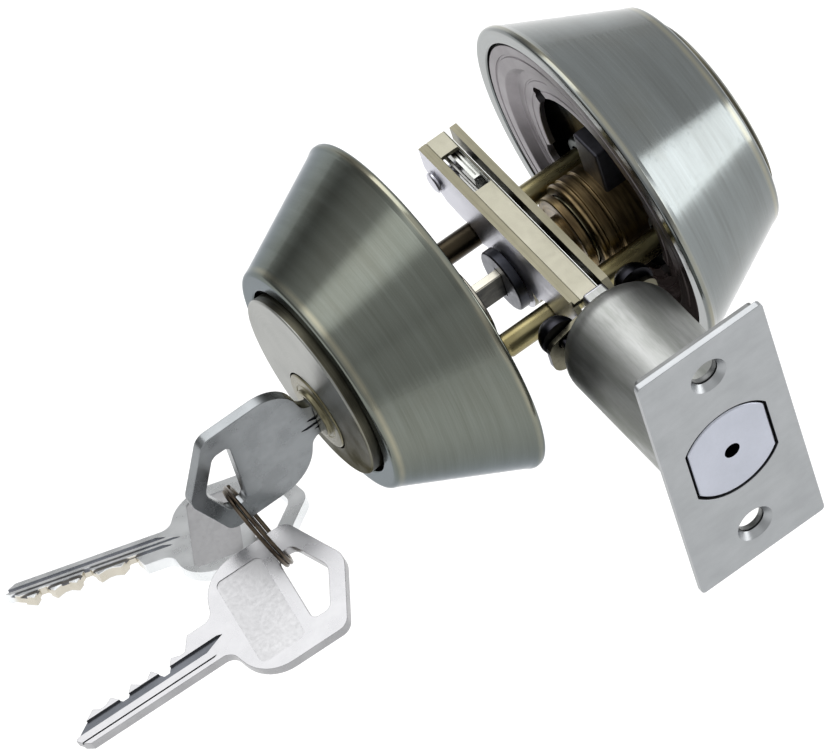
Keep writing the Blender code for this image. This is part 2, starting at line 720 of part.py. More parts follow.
def barrel():
    inner = BARREL_RADIUS - BARREL_WALL
    wall = BARREL_REAR + 1.0
    profile = [
        (0, wall),
        (5.9, wall),
        (7.2, wall + 0.35),
        (inner - 1.4, wall + 1.3),
        (inner - 0.35, wall + 3.1),
        (inner, wall + 5.2),
        (inner, BARREL_FRONT),
        (BARREL_RADIUS, BARREL_FRONT),
        (BARREL_RADIUS, BARREL_REAR + 6.0),
        (BARREL_RADIUS - 0.35, BARREL_REAR + 3.6),
        (BARREL_RADIUS - 1.5, BARREL_REAR + 1.4),
        (BARREL_RADIUS - 3.3, BARREL_REAR + 0.2),
        (BARREL_RADIUS - 4.6, BARREL_REAR),
        (0, BARREL_REAR),
    ]
    made = link_part(turned("bolt_barrel", profile, ALONG_X, 36), "zinc")
    neck = box("barrel_neck", (CASE_FRONT + 0.4, -NECK_HALF_WIDTH, NECK_HEIGHT[0]),
               (BARREL_REAR + 2.2, NECK_HALF_WIDTH, NECK_HEIGHT[1]))
    join(made, link_cutter(neck))
    slot = box("barrel_slot", (CASE_FRONT, TAIL_LAYER[0] - 0.4, TAIL_Z[0] - 0.4),
               (BARREL_REAR + 4.0, TAIL_LAYER[1] + 0.4, TAIL_Z[1] + 0.4))
    cut(made, link_cutter(slot))
    for y, tag in ((-RIVET_Y, "exterior"), (RIVET_Y, "interior")):
        hole = rod(tag + "_barrel_hole", RIVET_SHANK + GAP, BARREL_REAR - 4, BARREL_REAR + 4,
                   at(0, y, RIVET_Z) @ ALONG_X, 12)
        cut(made, link_cutter(hole))
    return made


def flatted_circle(radius, half_width, count):
    """A circle with two flats, at +Y and -Y; points are (y, z)."""
    edge = degrees(acos(half_width / radius))
    top = arc((0, 0), radius, edge, 180 - edge, count)
    low = arc((0, 0), radius, 180 + edge, 360 - edge, count)
    return top + low


def dead_bolt():
    outline = flatted_circle(BOLT_RADIUS, BOLT_HALF_WIDTH, 10)
    bolt = sheet("dead_bolt", [outline], BOLT_REAR, BACKSET, ACROSS)
    link_part(bolt, "steel")
    edge = bolt.modifiers.new("Edge", "BEVEL")
    edge.width = 0.4 * MM
    edge.segments = 1
    edge.limit_method = "ANGLE"
    edge.angle_limit = radians(60)
    bore = rod("bolt_bore", BOLT_BORE, 42.0, BACKSET + OVERSHOOT, ALONG_X, 16)
    cut(bolt, link_cutter(bore))
    slot = box("bolt_slot", (BOLT_REAR - OVERSHOOT, TAIL_LAYER[0] - GAP, TAIL_Z[0] - GAP),
               (TAIL_FRONT + GAP, TAIL_LAYER[1] + GAP, TAIL_Z[1] + GAP))
    return cut(bolt, link_cutter(slot))


def face_outlines(inset):
    """Edge, bolt mouth and screw holes of a face plate, as (y, z) points."""
    half_y, half_z = FACE_WIDTH / 2 - inset, FACE_HEIGHT / 2 - inset
    corners = [(-half_y, -half_z), (half_y, -half_z), (half_y, half_z), (-half_y, half_z)]
    edge = rounded([(y, z, FACE_CORNER) for y, z in corners], 3)
    mouth = flatted_circle(MOUTH_RADIUS, MOUTH_HALF_WIDTH, 10)[::-1]
    holes = [arc((0, z), FACE_HOLE_RADIUS, 360, 22.5, 15) for z in (-FACE_SCREW_Z, FACE_SCREW_Z)]
    return [edge, mouth] + holes


def face_plates():
    back = BACKSET - FACE_THICK
    face = link_part(sheet("faceplate", face_outlines(0.0), back, BACKSET, ACROSS), "steel")
    foot = back + 0.1
    spread = (FACE_SINK_RADIUS - FACE_HOLE_RADIUS) / (BACKSET - foot)
    widest = FACE_SINK_RADIUS + spread * OVERSHOOT
    cone = [(0, BACKSET + OVERSHOOT), (widest, BACKSET + OVERSHOOT), (FACE_HOLE_RADIUS - 0.1, foot), (0, foot)]
    for z, tag in ((-FACE_SCREW_Z, "lower"), (FACE_SCREW_Z, "upper")):
        cut(face, link_cutter(turned(tag + "_countersink", cone, at(0, 0, z) @ ALONG_X, 20)))
    front = back - GAP
    backing = sheet("backing_plate", face_outlines(BACKING_INSET), front - BACKING_THICK, front, ACROSS)
    link_part(backing, "zinc")


# ---------------------------------------------------------------- screws

def mounting_screw(name, x):
    """Machine screw from the interior face, across the latch, into the exterior cylinder."""
    face = RIM_Y["interior"] + DISC_FACE
    end = RIM_Y["exterior"] - SCREW_END
    under_head = face - SCREW_HEAD
    profile = [
        (0, face),
        (SCREW_HEAD_RADIUS - 0.4, face),
        (SCREW_HEAD_RADIUS, face - 0.4),
        (SCREW_HEAD_RADIUS, under_head),
        (SCREW_RADIUS, under_head),
        (SCREW_RADIUS, end + 1.0),
        (SCREW_RADIUS - 0.8, end),
        (0, end),
    ]
    frame = at(x, 0, -DROP) @ ALONG_Y
    screw = link_part(turned(name, profile, frame, 16), "screw_olive")
    for angle in (0, 90):
        slot = box("%s_cross_%d" % (name, angle), (-2.0, -0.45, face - 1.2), (2.0, 0.45, face + 1.0),
                   frame @ Matrix.Rotation(radians(angle), 4, "Z"))
        cut(screw, link_cutter(slot))
    return screw


# ---------------------------------------------------------------- keys

def key_outline(cuts):
    """Outline of a key from the tip of its blade; cuts are heights from the plug's axis."""
    axis = (BLADE_LOW + BLADE_HIGH) / 2
    start, near = BLADE_LENGTH + BOW_START, BLADE_LENGTH + BOW_NEAR
    far, tip = BLADE_LENGTH + BOW_FAR, BLADE_LENGTH + BOW_TIP
    first = BLADE_LENGTH - FIRST_PIN
    blade = [(0.8, BLADE_LOW + 0.9), (2.0, BLADE_LOW)]
    bow = [
        (start, BLADE_LOW, 2.2),
        (near, axis - BOW_HALF_WIDTH, BOW_NEAR_RADIUS),
        (far, axis - BOW_HALF_WIDTH, 2.6),
        (tip, axis, 4.0),
        (far, axis + BOW_HALF_WIDTH, 2.6),
        (near, axis + BOW_HALF_WIDTH, BOW_NEAR_RADIUS),
        (start, BLADE_HIGH, 2.2),
    ]
    bitting = [(first + 2.2, BLADE_HIGH)]
    for i, floor in enumerate(cuts):
        middle = first - PIN_PITCH * i
        bitting += [(middle + 0.55, floor), (middle - 0.55, floor), (middle - PIN_PITCH / 2, KEY_RIDGE)]
    bitting[-1] = (middle - 1.6, KEY_RIDGE)
    nose = [(1.2, -1.2), (0.0, -2.2)]
    sharp = [(x, y, 0.0) for x, y in bitting + nose]
    return rounded([(x, y, 0.0) for x, y in blade] + bow + sharp)


def bow_hole():
    axis = (BLADE_LOW + BLADE_HIGH) / 2
    near, far = BLADE_LENGTH + HOLE_NEAR, BLADE_LENGTH + HOLE_FAR
    corners = [
        (near, axis - HOLE_HALF_WIDTH, 1.2),
        (near, axis + HOLE_HALF_WIDTH, 1.2),
        (near + 3.4, axis + HOLE_HALF_WIDTH, 1.6),
        (far, axis + 0.01, 3.0),
        (near + 3.4, axis - HOLE_HALF_WIDTH, 1.6),
    ]
    return rounded(corners, 3)


def key(name, matrix):
    outlines = [key_outline(KEY_CUTS[name]), bow_hole()]
    plate = sheet(name, outlines, -KEY_THICK / 2, KEY_THICK / 2, matrix)
    return link_part(plate, "key_nickel")


def frame_from(origin, along, across):
    """Matrix whose local x runs along, whose y is as near as it can be to across."""
    x = Vector(along).normalized()
    z = x.cross(Vector(across)).normalized()
    axes = Matrix((x, z.cross(x), z)).transposed().to_4x4()
    return at(*origin) @ axes


def key_ring():
    """Closed wire ring through the bows of the three keys."""
    count, around = 40, 8
    section = arc((RING_RADIUS, 0.0), RING_WIRE, 0.0, 360.0, around)[:-1]
    tilt = Vector((0, 0, 1)).rotation_difference(Vector(RING_NORMAL)).to_matrix().to_4x4()
    vertices = []
    for i in range(count):
        turn = Matrix.Rotation(2 * pi * i / count, 4, "Z")
        vertices += [turn @ Vector((r, 0, z)) * MM for r, z in section]
    faces = []
    for i in range(count):
        here, there = i * around, (i + 1) % count * around
        for j in range(around):
            k = (j + 1) % around
            faces.append((here + j, there + j, there + k, here + k))
    mesh = bpy.data.meshes.new("key_ring")
    mesh.from_pydata(vertices, [], faces)
    link_part(mesh_object("key_ring", mesh, at(*RING_CENTRE) @ tilt), "ring_bronze")


def make_keys():
    seat = RIM_Y["exterior"] - PLUG_NOSE_FACE - GAP          # shoulder of the key in the lock
    key("key_1", frame_from((0, seat + BLADE_LENGTH, -DROP), (0, -1, 0), (0, 0, 1)))
    for name, placing in HANGING_KEYS.items():
        key(name, frame_from(*placing))
    key_ring()


# ---------------------------------------------------------------- assembly

for which in ("exterior", "interior"):
    rose(which)
    cylinder_body(which)
    plug(which)
    tailpiece(which)
    pin_stacks(which)
guard_ring()
mounting_plate()
mounting_screw("mounting_screw_rear", -SCREW_X)
mounting_screw("mounting_screw_front", SCREW_X)
cam_hub()
bolt_tail()
latch_case()
latch_side("latch_cover", COVER_LAYER, "case_yellow_zinc")
rivet("case_rivet_rear", CASE_RIVETS[0])
rivet("case_rivet_front", CASE_RIVETS[1])
barrel_rivet("barrel_rivet_exterior", -RIVET_Y)
barrel_rivet("barrel_rivet_interior", RIVET_Y)
detent_spring()
barrel()
dead_bolt()
link_part(rod("bolt_hardened_pin", BOLT_BORE - GAP, 42.3, 57.8, ALONG_X, 12), "steel")
face_plates()
make_keys()

bpy.context.view_layer.update()
for part in PARTS.objects:
    smooth(part)
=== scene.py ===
"""Looks of the double-cylinder deadbolt: finer pieces, finishes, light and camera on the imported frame.

Lengths are millimetres, turned into metres by MM. Every piece is built in the row frame, except
the keys and their ring, which keep their own frames: x from the tip, y across, z through the plate.
"""
import json
from math import acos, cos, degrees, pi, radians, sin, tan

import bmesh
import bpy
from mathutils import Matrix, Vector

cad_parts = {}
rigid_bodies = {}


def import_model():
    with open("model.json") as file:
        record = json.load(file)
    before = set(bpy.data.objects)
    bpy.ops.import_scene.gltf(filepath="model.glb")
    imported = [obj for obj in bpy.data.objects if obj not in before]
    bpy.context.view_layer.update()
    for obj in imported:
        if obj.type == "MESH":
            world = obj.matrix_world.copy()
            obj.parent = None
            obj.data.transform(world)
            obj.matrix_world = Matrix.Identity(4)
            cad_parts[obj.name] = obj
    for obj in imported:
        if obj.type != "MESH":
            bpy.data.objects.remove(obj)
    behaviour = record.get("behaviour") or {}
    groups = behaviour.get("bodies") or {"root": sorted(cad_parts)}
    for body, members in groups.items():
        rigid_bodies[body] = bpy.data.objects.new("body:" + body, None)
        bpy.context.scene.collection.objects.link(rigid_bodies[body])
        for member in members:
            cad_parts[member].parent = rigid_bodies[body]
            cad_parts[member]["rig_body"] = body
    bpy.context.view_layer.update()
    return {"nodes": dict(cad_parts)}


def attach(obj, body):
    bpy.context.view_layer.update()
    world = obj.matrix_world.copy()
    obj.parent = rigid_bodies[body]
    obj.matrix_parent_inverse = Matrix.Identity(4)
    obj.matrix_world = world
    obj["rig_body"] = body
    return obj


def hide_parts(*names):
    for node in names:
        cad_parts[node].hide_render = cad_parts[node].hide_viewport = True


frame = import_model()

MM = 0.001
NODES = frame["nodes"]

# Sizes shared with the lock's drawing
DROP = 6.35
RIM_Y = {"exterior": -19.5, "interior": 14.3}
RIM_RADIUS = 32.3
NOSE_RADIUS = 21.3
ROSE_HEIGHT = 23.0
MOUTH = 18.0
DISC_RADIUS = 17.3
DISC_FACE = 24.8
SCREW_X = 11.5
CASE_TOP = 6.4
BARREL_REAR = 24.0
FACE_X = 60.0
FACE_HALF = (12.7, 28.575)     # half width and half height of the faceplate
FACE_SCREW_Z = 20.64
BOLT_MOUTH = (10.05, 8.25)     # radius and half width of the opening
RIVET_Y = 7.85
RIVET_Z = 1.5
CASE_RIVETS = {"case_rivet_rear": (-19.6, 0.8), "case_rivet_front": (17.6, -5.0)}
CORE_RADIUS = 8.6
CORE_END = -4.8
CRANK = 10.95                  # radius at which the hub's pin drives the bolt
KEY_TURN = 132.0
BROWNED_TO = 5.5               # depth of the bare brass on the cores; deeper in they keep the body's near-black painted shade
BLADE = 28.4                   # length of a key's blade, tip to shoulder
KEY_AXIS = -0.35               # middle of the key's width
RING_CENTRE = (5.0, -62.8, -16.3)
RING_NORMAL = (-0.077, -0.963, -0.257)
KEY_FRAMES = {
    "key_1": ((0.0, -17.3, -6.35), (0, -1, 0), (0, 0, 1)),
    "key_2": ((-20.4, -100.5, -28.8), (0.403, 0.910, 0.097), (0.863, -0.413, 0.291)),
    "key_3": ((11.0, -107.6, -26.3), (0.169, 0.970, 0.177), (-0.986, 0.166, 0.036)),
}
KEY_CUTS = {
    "key_1": (0.6, -0.4, 0.9, -0.8, 0.2),
    "key_2": (-0.2, 0.8, -0.9, 0.5, -0.5),
    "key_3": (0.9, -0.7, 0.3, -0.3, 0.7),
}
GROOVES = {                    # by face of a key: centre, half width, end past the shoulder
    1.0: ((-0.8, 0.95, 1.5), (-3.2, 0.15, -1.0)),
    -1.0: ((-2.6, 0.45, 0.5), (-1.2, 0.30, 3.0), (0.1, 0.45, 1.5)),
}

# Floor, and the camera's stand: angles in degrees, distance in metres
FLOOR_Z = -110.0
CAMERA_AZIMUTH = 70.103
CAMERA_ELEVATION = 51.549
CAMERA_ROLL = -19.196
CAMERA_DISTANCE = 2.05
CAMERA_TARGET = (8.56, -28.93, -2.93)
CAMERA_LENS = 535.7

WORLD = Matrix.Identity(4)
ALONG_X = Matrix.Rotation(pi / 2, 4, "Y")
ALONG_MINUS_X = Matrix.Rotation(-pi / 2, 4, "Y")
ALONG_Y = Matrix.Rotation(-pi / 2, 4, "X")
IN_XZ = Matrix.Rotation(pi / 2, 4, "X")
ACROSS = Matrix(((0, 0, 1, 0), (1, 0, 0, 0), (0, 1, 0, 0), (0, 0, 0, 1)))


# ---------------------------------------------------------------- geometry helpers

def at(x, y, z):
    """A move in millimetres."""
    return Matrix.Translation(Vector((x, y, z)) * MM)


def side_frame(side):
    """Frame of a rose: origin at its rim, local z outwards from the door."""
    out = -1.0 if side == "exterior" else 1.0
    return Matrix(((-out, 0, 0, 0), (0, 0, out, RIM_Y[side] * MM), (0, 1, 0, 0), (0, 0, 0, 1)))


def frame_from(origin, along, across):
    """Frame at origin with x along one direction and y towards another."""
    x = Vector(along).normalized()
    z = x.cross(Vector(across)).normalized()
    return at(*origin) @ Matrix((x, z.cross(x), z)).transposed().to_4x4()


def link(obj):
    bpy.context.scene.collection.objects.link(obj)
    return obj


def from_shape(name, shape, matrix=WORLD):
    """An object in the row frame from a bmesh in millimetres."""
    bmesh.ops.scale(shape, vec=(MM, MM, MM), verts=shape.verts)
    bmesh.ops.transform(shape, matrix=matrix, verts=shape.verts)
    bmesh.ops.recalc_face_normals(shape, faces=shape.faces)
    mesh = bpy.data.meshes.new(name)
    shape.to_mesh(mesh)
    shape.free()
    return link(bpy.data.objects.new(name, mesh))


def arc(centre, radius, start, end, count):
    angles = [radians(start + (end - start) * i / count) for i in range(count + 1)]
    return [(centre[0] + radius * cos(a), centre[1] + radius * sin(a)) for a in angles]


def rounded(corners, count=5, closed=True):
    """Points of an outline from (x, y, radius) corners."""
    outline = []
    last_index = len(corners) - 1
    for i, (x, y, radius) in enumerate(corners):
        here = Vector((x, y))
        before = Vector(corners[i - 1][:2]) - here
        after = Vector(corners[(i + 1) % len(corners)][:2]) - here
        sharp = radius <= 0 or (not closed and i in (0, last_index))
        if sharp or before.angle(after) > radians(178):
            outline.append((x, y))
            continue
        half = before.angle(after) / 2
        reach = radius / tan(half)
        first = here + before.normalized() * reach
        last = here + after.normalized() * reach
        centre = here + (before.normalized() + after.normalized()).normalized() * radius / sin(half)
        start = first - centre
        turn = start.angle_signed(last - centre)
        for step in range(count + 1):
            outline.append(tuple(centre + Matrix.Rotation(-turn * step / count, 2) @ start))
    return outline


def circle(shape, radius, height, count):
    """New vertices of a bmesh in a ring about the local z axis."""
    angles = [2 * pi * i / count for i in range(count)]
    return [shape.verts.new((radius * cos(a), radius * sin(a), height)) for a in angles]


def bridge(shape, rings):
    """Join rings of equal count by faces and close both ends."""
    for a, b in zip(rings, rings[1:]):
        for k in range(len(a)):
            j = (k + 1) % len(a)
            shape.faces.new((a[k], a[j], b[j], b[k]))
    shape.faces.new(rings[0][::-1])
    shape.faces.new(rings[-1])


def turned(name, profile, matrix=WORLD, steps=96):
    """Turn (radius, height) points about the local z axis; ends on the axis are closed there."""
    shape = bmesh.new()
    closed = profile[0][0] > 0 and profile[-1][0] > 0
    rings = []
    for radius, height in profile:
        count = steps if radius > 1e-6 else 1
        rings.append(circle(shape, radius, height, count))
    pairs = list(zip(rings, rings[1:]))
    if closed:
        pairs.append((rings[-1], rings[0]))
    for a, b in pairs:
        for i in range(steps):
            j = (i + 1) % steps
            quad = [a[i % len(a)], a[j % len(a)], b[j % len(b)], b[i % len(b)]]
            corners = list(dict.fromkeys(quad))
            if len(corners) > 2:
                shape.faces.new(corners)
    return from_shape(name, shape, matrix)


def rod(name, radius, low, high, matrix=WORLD, steps=48):
    """A cylinder from low to high on the local z axis."""
    return turned(name, [(0, high), (radius, high), (radius, low), (0, low)], matrix, steps)


def block(name, low, high, matrix=WORLD):
    """A box between two corners."""
    shape = bmesh.new()
    bmesh.ops.create_cube(shape, size=1.0)
    bmesh.ops.scale(shape, vec=[b - a for a, b in zip(low, high)], verts=shape.verts)
    bmesh.ops.translate(shape, vec=[(a + b) / 2 for a, b in zip(low, high)], verts=shape.verts)
    return from_shape(name, shape, matrix)


def sheet(name, outlines, low, high, matrix=WORLD):
    """A flat plate from low to high on the local z axis; later outlines are openings."""
    curve = bpy.data.curves.new(name, "CURVE")
    curve.dimensions = "2D"
    curve.fill_mode = "BOTH"
    curve.extrude = (high - low) / 2
    for outline in outlines:
        spline = curve.splines.new("POLY")
        spline.points.add(len(outline) - 1)
        for point, (x, y) in zip(spline.points, outline):
            point.co = (x, y, 0.0, 1.0)
        spline.use_cyclic_u = True
    drawn = link(bpy.data.objects.new(name + "_curve", curve))
    bpy.context.view_layer.update()
    mesh = bpy.data.meshes.new_from_object(drawn.evaluated_get(bpy.context.evaluated_depsgraph_get()))
    bpy.data.objects.remove(drawn, do_unlink=True)
    shape = bmesh.new()
    shape.from_mesh(mesh)
    bpy.data.meshes.remove(mesh)
    bmesh.ops.remove_doubles(shape, verts=shape.verts, dist=0.005)
    bmesh.ops.translate(shape, vec=(0, 0, (low + high) / 2), verts=shape.verts)
    bmesh.ops.dissolve_limit(shape, angle_limit=radians(0.5), verts=shape.verts, edges=shape.edges)
    return from_shape(name, shape, matrix)


def swept(name, points, radius, around):
    """A wire along points."""
    shape = bmesh.new()
    rings = []
    angles = [2 * pi * k / around for k in range(around)]
    points = [Vector(p) for p in points]
    for i, point in enumerate(points):
        ahead = points[min(i + 1, len(points) - 1)] - points[max(i - 1, 0)]
        side = ahead.cross(Vector((0, 0, 1))).normalized()
        up = side.cross(ahead).normalized()
        section = [point + side * radius * cos(a) + up * radius * sin(a) for a in angles]
        rings.append([shape.verts.new(place) for place in section])
    bridge(shape, rings)
    return from_shape(name, shape)


def apply_modifiers(obj):
    """Make the modifiers part of the mesh."""
    bpy.context.view_layer.update()
    graph = bpy.context.evaluated_depsgraph_get()
    mesh = bpy.data.meshes.new_from_object(obj.evaluated_get(graph))
    old = obj.data
    obj.modifiers.clear()
    obj.data = mesh
    bpy.data.meshes.remove(old)
    return obj


def boolean(obj, tools, operation="DIFFERENCE"):
    """Cut tools out of obj, or weld them to it, and remove the tools."""
    for tool in tools:
        modifier = obj.modifiers.new("cut", "BOOLEAN")
        modifier.operation = operation
        modifier.solver = "EXACT"
        modifier.object = tool
    apply_modifiers(obj)
    for tool in tools:
        bpy.data.objects.remove(tool, do_unlink=True)
    return obj


def soften(obj, width, segments=2, angle=32.0):
    """Round every edge sharper than an angle."""
    modifier = obj.modifiers.new("edge", "BEVEL")
    modifier.width = width * MM
    modifier.segments = segments
    modifier.limit_method = "ANGLE"
    modifier.angle_limit = radians(angle)
    modifier.use_clamp_overlap = True
    return apply_modifiers(obj)


# ---------------------------------------------------------------- finishes

class Finish:
    """A Principled material with a small set of procedural patterns."""

    def __init__(self, name, metallic=1.0, specular=0.5):
        self.material = bpy.data.materials.new(name)
        self.material.use_nodes = True
        self.tree = self.material.node_tree
        self.shader = self.tree.nodes["Principled BSDF"]
        self.shader.inputs["Metallic"].default_value = metallic
        self.shader.inputs["Specular IOR Level"].default_value = specular
        self.position = self.add("ShaderNodeTexCoord").outputs["Object"]
        self.split = self.add("ShaderNodeSeparateXYZ", Vector=self.position)

    def add(self, kind, settings=(), **inputs):
        """A new node; inputs are named with underscores for spaces."""
        node = self.tree.nodes.new(kind)
        for key, value in dict(settings).items():
            setattr(node, key, value)
        for key, value in inputs.items():
            self.feed(node.inputs[key.replace("_", " ")], value)
        return node

    def feed(self, socket, value):
        if isinstance(value, bpy.types.NodeSocket):
            self.tree.links.new(value, socket)
        else:
            socket.default_value = value

    def math(self, operation, a, b=0.0):
        node = self.add("ShaderNodeMath", {"operation": operation})
        self.feed(node.inputs[0], a)
        self.feed(node.inputs[1], b)
        return node.outputs[0]

    def vector(self, x, y, z):
        return self.add("ShaderNodeCombineXYZ", X=x, Y=y, Z=z).outputs[0]

    def noise(self, vector, scale, detail=3.0, roughness=0.55):
        node = self.add("ShaderNodeTexNoise", Vector=vector, Scale=scale, Detail=detail,
                        Roughness=roughness)
        return node.outputs["Fac"]

    def remap(self, value, low, high, to_low=0.0, to_high=1.0):
        node = self.add("ShaderNodeMapRange", Value=value, From_Min=low, From_Max=high,
                        To_Min=to_low, To_Max=to_high)
        return node.outputs["Result"]

    def mix(self, factor, a, b):
        node = self.add("ShaderNodeMix", {"data_type": "RGBA"})
        self.feed(node.inputs["Factor"], factor)
        self.feed(node.inputs[6], (*a, 1.0) if isinstance(a, tuple) else a)
        self.feed(node.inputs[7], (*b, 1.0) if isinstance(b, tuple) else b)
        return node.outputs[2]

    def about_y(self, centre_z, fine, round_it=1.0):
        """Coordinates that run slowly round an axis along y and quickly along the profile."""
        z = self.math("SUBTRACT", self.split.outputs["Z"], centre_z * MM)
        x = self.split.outputs["X"]
        square = self.math("ADD", self.math("MULTIPLY", x, x), self.math("MULTIPLY", z, z))
        radius = self.math("SQRT", square)
        safe = self.math("MAXIMUM", radius, 1e-5)
        run = self.math("MULTIPLY", self.math("ADD", self.split.outputs["Y"], radius), fine)
        u = self.math("MULTIPLY", self.math("DIVIDE", x, safe), round_it)
        v = self.math("MULTIPLY", self.math("DIVIDE", z, safe), round_it)
        return self.vector(u, v, run)

    def stretched(self, x, y, z):
        """Object coordinates scaled by axis, for a grain drawn out along the small one."""
        node = self.add("ShaderNodeMapping", Vector=self.position, Scale=(x, y, z))
        return node.outputs[0]

    def band(self, value, low, high, blur):
        """1 between low and high, falling to 0 over blur on both sides."""
        rise = self.remap(value, low - blur, low + blur)
        fall = self.remap(value, high - blur, high + blur, 1.0, 0.0)
        return self.math("MULTIPLY", rise, fall)

    def finish(self, colour, roughness, bump_height, strength, distance):
        self.feed(self.shader.inputs["Base Color"], colour)
        self.feed(self.shader.inputs["Roughness"], roughness)
        bump = self.add("ShaderNodeBump", Strength=strength, Distance=distance, Height=bump_height)
        self.feed(self.shader.inputs["Normal"], bump.outputs[0])
        return self.material


def antique_nickel(name, side, low, high, glancing):
    """Brushed round the rose, toned dark, rubbed back to brassy nickel on its lips."""
    f = Finish(name)
    f.shader.inputs["Specular Tint"].default_value = glancing
    rim = RIM_Y[side] * MM
    streak = f.noise(f.about_y(0.0, 4200.0), 1.0, 5.0, 0.6)
    wide = f.noise(f.about_y(0.0, 420.0), 1.0, 3.0)
    cloud = f.noise(f.position, 60.0, 4.0)
    speck = f.noise(f.position, 900.0, 2.0)
    tone = f.math("ADD", f.math("MULTIPLY", streak, 0.5), f.math("MULTIPLY", wide, 0.5))
    body = f.mix(f.remap(tone, 0.34, 0.66), low, high)
    body = f.mix(f.remap(cloud, 0.50, 0.72, 0.0, 0.25), body, (0.150, 0.145, 0.115))
    depth = f.math("ABSOLUTE", f.math("SUBTRACT", f.split.outputs["Y"], rim))
    lip = f.band(depth, 21.5 * MM, 22.3 * MM, 0.3 * MM)
    edge = f.band(depth, 0.5 * MM, 1.3 * MM, 0.25 * MM)
    worn = f.math("MULTIPLY", f.math("MAXIMUM", lip, edge), f.remap(cloud, 0.35, 0.62, 0.1, 0.75))
    body = f.mix(worn, body, (0.33, 0.315, 0.235))
    rough = f.math("ADD", f.remap(streak, 0.3, 0.7, 0.11, 0.19), f.remap(speck, 0.55, 0.80, 0.0, 0.06))
    return f.finish(body, rough, streak, 0.04, 0.00003)


def satin(name, low, high, rough=(0.30, 0.42), grain=(60, 60, 2600), cloud_scale=80.0, bump=0.08):
    """Plated sheet with a straight grain, slightly clouded."""
    f = Finish(name)
    streak = f.noise(f.stretched(*grain), 1.0, 5.0, 0.65)
    cloud = f.noise(f.position, cloud_scale, 4.0)
    tone = f.math("ADD", f.math("MULTIPLY", streak, 0.5), f.math("MULTIPLY", cloud, 0.5))
    colour = f.mix(f.remap(tone, 0.38, 0.62), low, high)
    return f.finish(colour, f.remap(streak, 0.3, 0.7, *rough), streak, bump, 0.00005)


def spun(name, centre_z, low, high, rough=(0.28, 0.40), fine=4200.0, bump=0.05, tarnish_and_shade=None):
    """Faced in a lathe: rings round an axis along y; tarnish and painted shade darken it below and
    towards +x.
    """
    f = Finish(name)
    streak = f.noise(f.about_y(centre_z, fine), 1.0, 5.0, 0.6)
    cloud = f.noise(f.position, 110.0, 4.0)
    tone = f.math("ADD", f.math("MULTIPLY", streak, 0.5), f.math("MULTIPLY", cloud, 0.5))
    colour = f.mix(f.remap(tone, 0.38, 0.62), low, high)
    if tarnish_and_shade:
        # Tarnish plus painted shade: darker colour and dimmed reflections below and towards +x
        slant = f.math("SUBTRACT", f.split.outputs["X"], f.split.outputs["Z"])
        patch = f.math("ADD", slant, f.remap(cloud, 0.3, 0.7, -6.0 * MM, 6.0 * MM))
        dulled_and_shaded = f.remap(patch, 0.0, 20.0 * MM, 0.0, 0.8)
        colour = f.mix(dulled_and_shaded, colour, tarnish_and_shade)
        f.feed(f.shader.inputs["Specular Tint"], f.mix(dulled_and_shaded, (1.0, 1.0, 1.0), (0.04, 0.035, 0.03)))
    return f.finish(colour, f.remap(streak, 0.3, 0.7, *rough), streak, bump, 0.00004)


def cast(name, low, high, rough=(0.40, 0.55), scale=900.0, bump=0.12):
    """Blasted, cast or blackened surface with an even grain."""
    f = Finish(name)
    grain = f.noise(f.position, scale, 4.0, 0.6)
    cloud = f.noise(f.position, 70.0, 4.0)
    tone = f.math("ADD", f.math("MULTIPLY", grain, 0.35), f.math("MULTIPLY", cloud, 0.65))
    colour = f.mix(f.remap(tone, 0.38, 0.62), low, high)
    return f.finish(colour, f.remap(grain, 0.3, 0.7, *rough), grain, bump, 0.00008)


def drawn_tube(name):
    """Zinc-plated tube with streaks along x and darker patches towards the bottom."""
    f = Finish(name)
    streak = f.noise(f.stretched(45, 420, 420), 1.0, 5.0, 0.7)
    stain = f.noise(f.stretched(60, 130, 130), 1.0, 4.0, 0.6)
    low_down = f.remap(f.split.outputs["Z"], -4.0 * MM, 6.0 * MM, 1.0, 0.25)
    colour = f.mix(f.remap(streak, 0.35, 0.65), (0.27, 0.28, 0.265), (0.40, 0.405, 0.40))
    # Darker patches from the stain noise, stronger towards the bottom
    dark = f.math("MULTIPLY", f.remap(stain, 0.42, 0.60, 0.0, 0.8), low_down)
    colour = f.mix(dark, colour, (0.14, 0.15, 0.12))
    rough = f.remap(stain, 0.4, 0.65, 0.40, 0.52)
    return f.finish(colour, rough, streak, 0.05, 0.00006)


def key_nickel(name, low, high, brass):
    """Nickel plate on a key: fine grain along the blade and some brass showing in the cuts."""
    f = Finish(name)
    streak = f.noise(f.stretched(700, 3200, 1500), 1.0, 3.0, 0.5)
    cloud = f.noise(f.position, 190.0, 4.0)
    colour = f.mix(f.remap(cloud, 0.40, 0.62), low, high)
    along = f.band(f.split.outputs["X"], 1.5 * MM, 24.0 * MM, 0.5 * MM)
    thick = f.math("ABSOLUTE", f.split.outputs["Z"])
    inside = f.remap(thick, 0.80 * MM, 0.93 * MM, brass, 0.0)
    cut_side = f.remap(f.split.outputs["Y"], -1.5 * MM, -1.0 * MM)
    worn = f.math("MULTIPLY", f.math("MULTIPLY", along, inside), cut_side)
    colour = f.mix(worn, colour, (0.42, 0.33, 0.16))
    return f.finish(colour, f.remap(cloud, 0.3, 0.7, 0.24, 0.32), streak, 0.012, 0.00003)


def core_brass(name):
    """Turned brass core, browned and oily, with rings of a paler cut."""
    f = Finish(name)
    streak = f.noise(f.about_y(-DROP, 1500.0), 1.0, 4.0, 0.6)
    cloud = f.noise(f.position, 150.0, 4.0)
    colour = f.mix(f.remap(streak, 0.36, 0.64), (0.115, 0.078, 0.036), (0.30, 0.225, 0.115))
    colour = f.mix(f.remap(cloud, 0.50, 0.66, 0.0, 0.7), colour, (0.075, 0.055, 0.035))
    return f.finish(colour, f.remap(cloud, 0.3, 0.7, 0.26, 0.44), streak, 0.08, 0.00006)


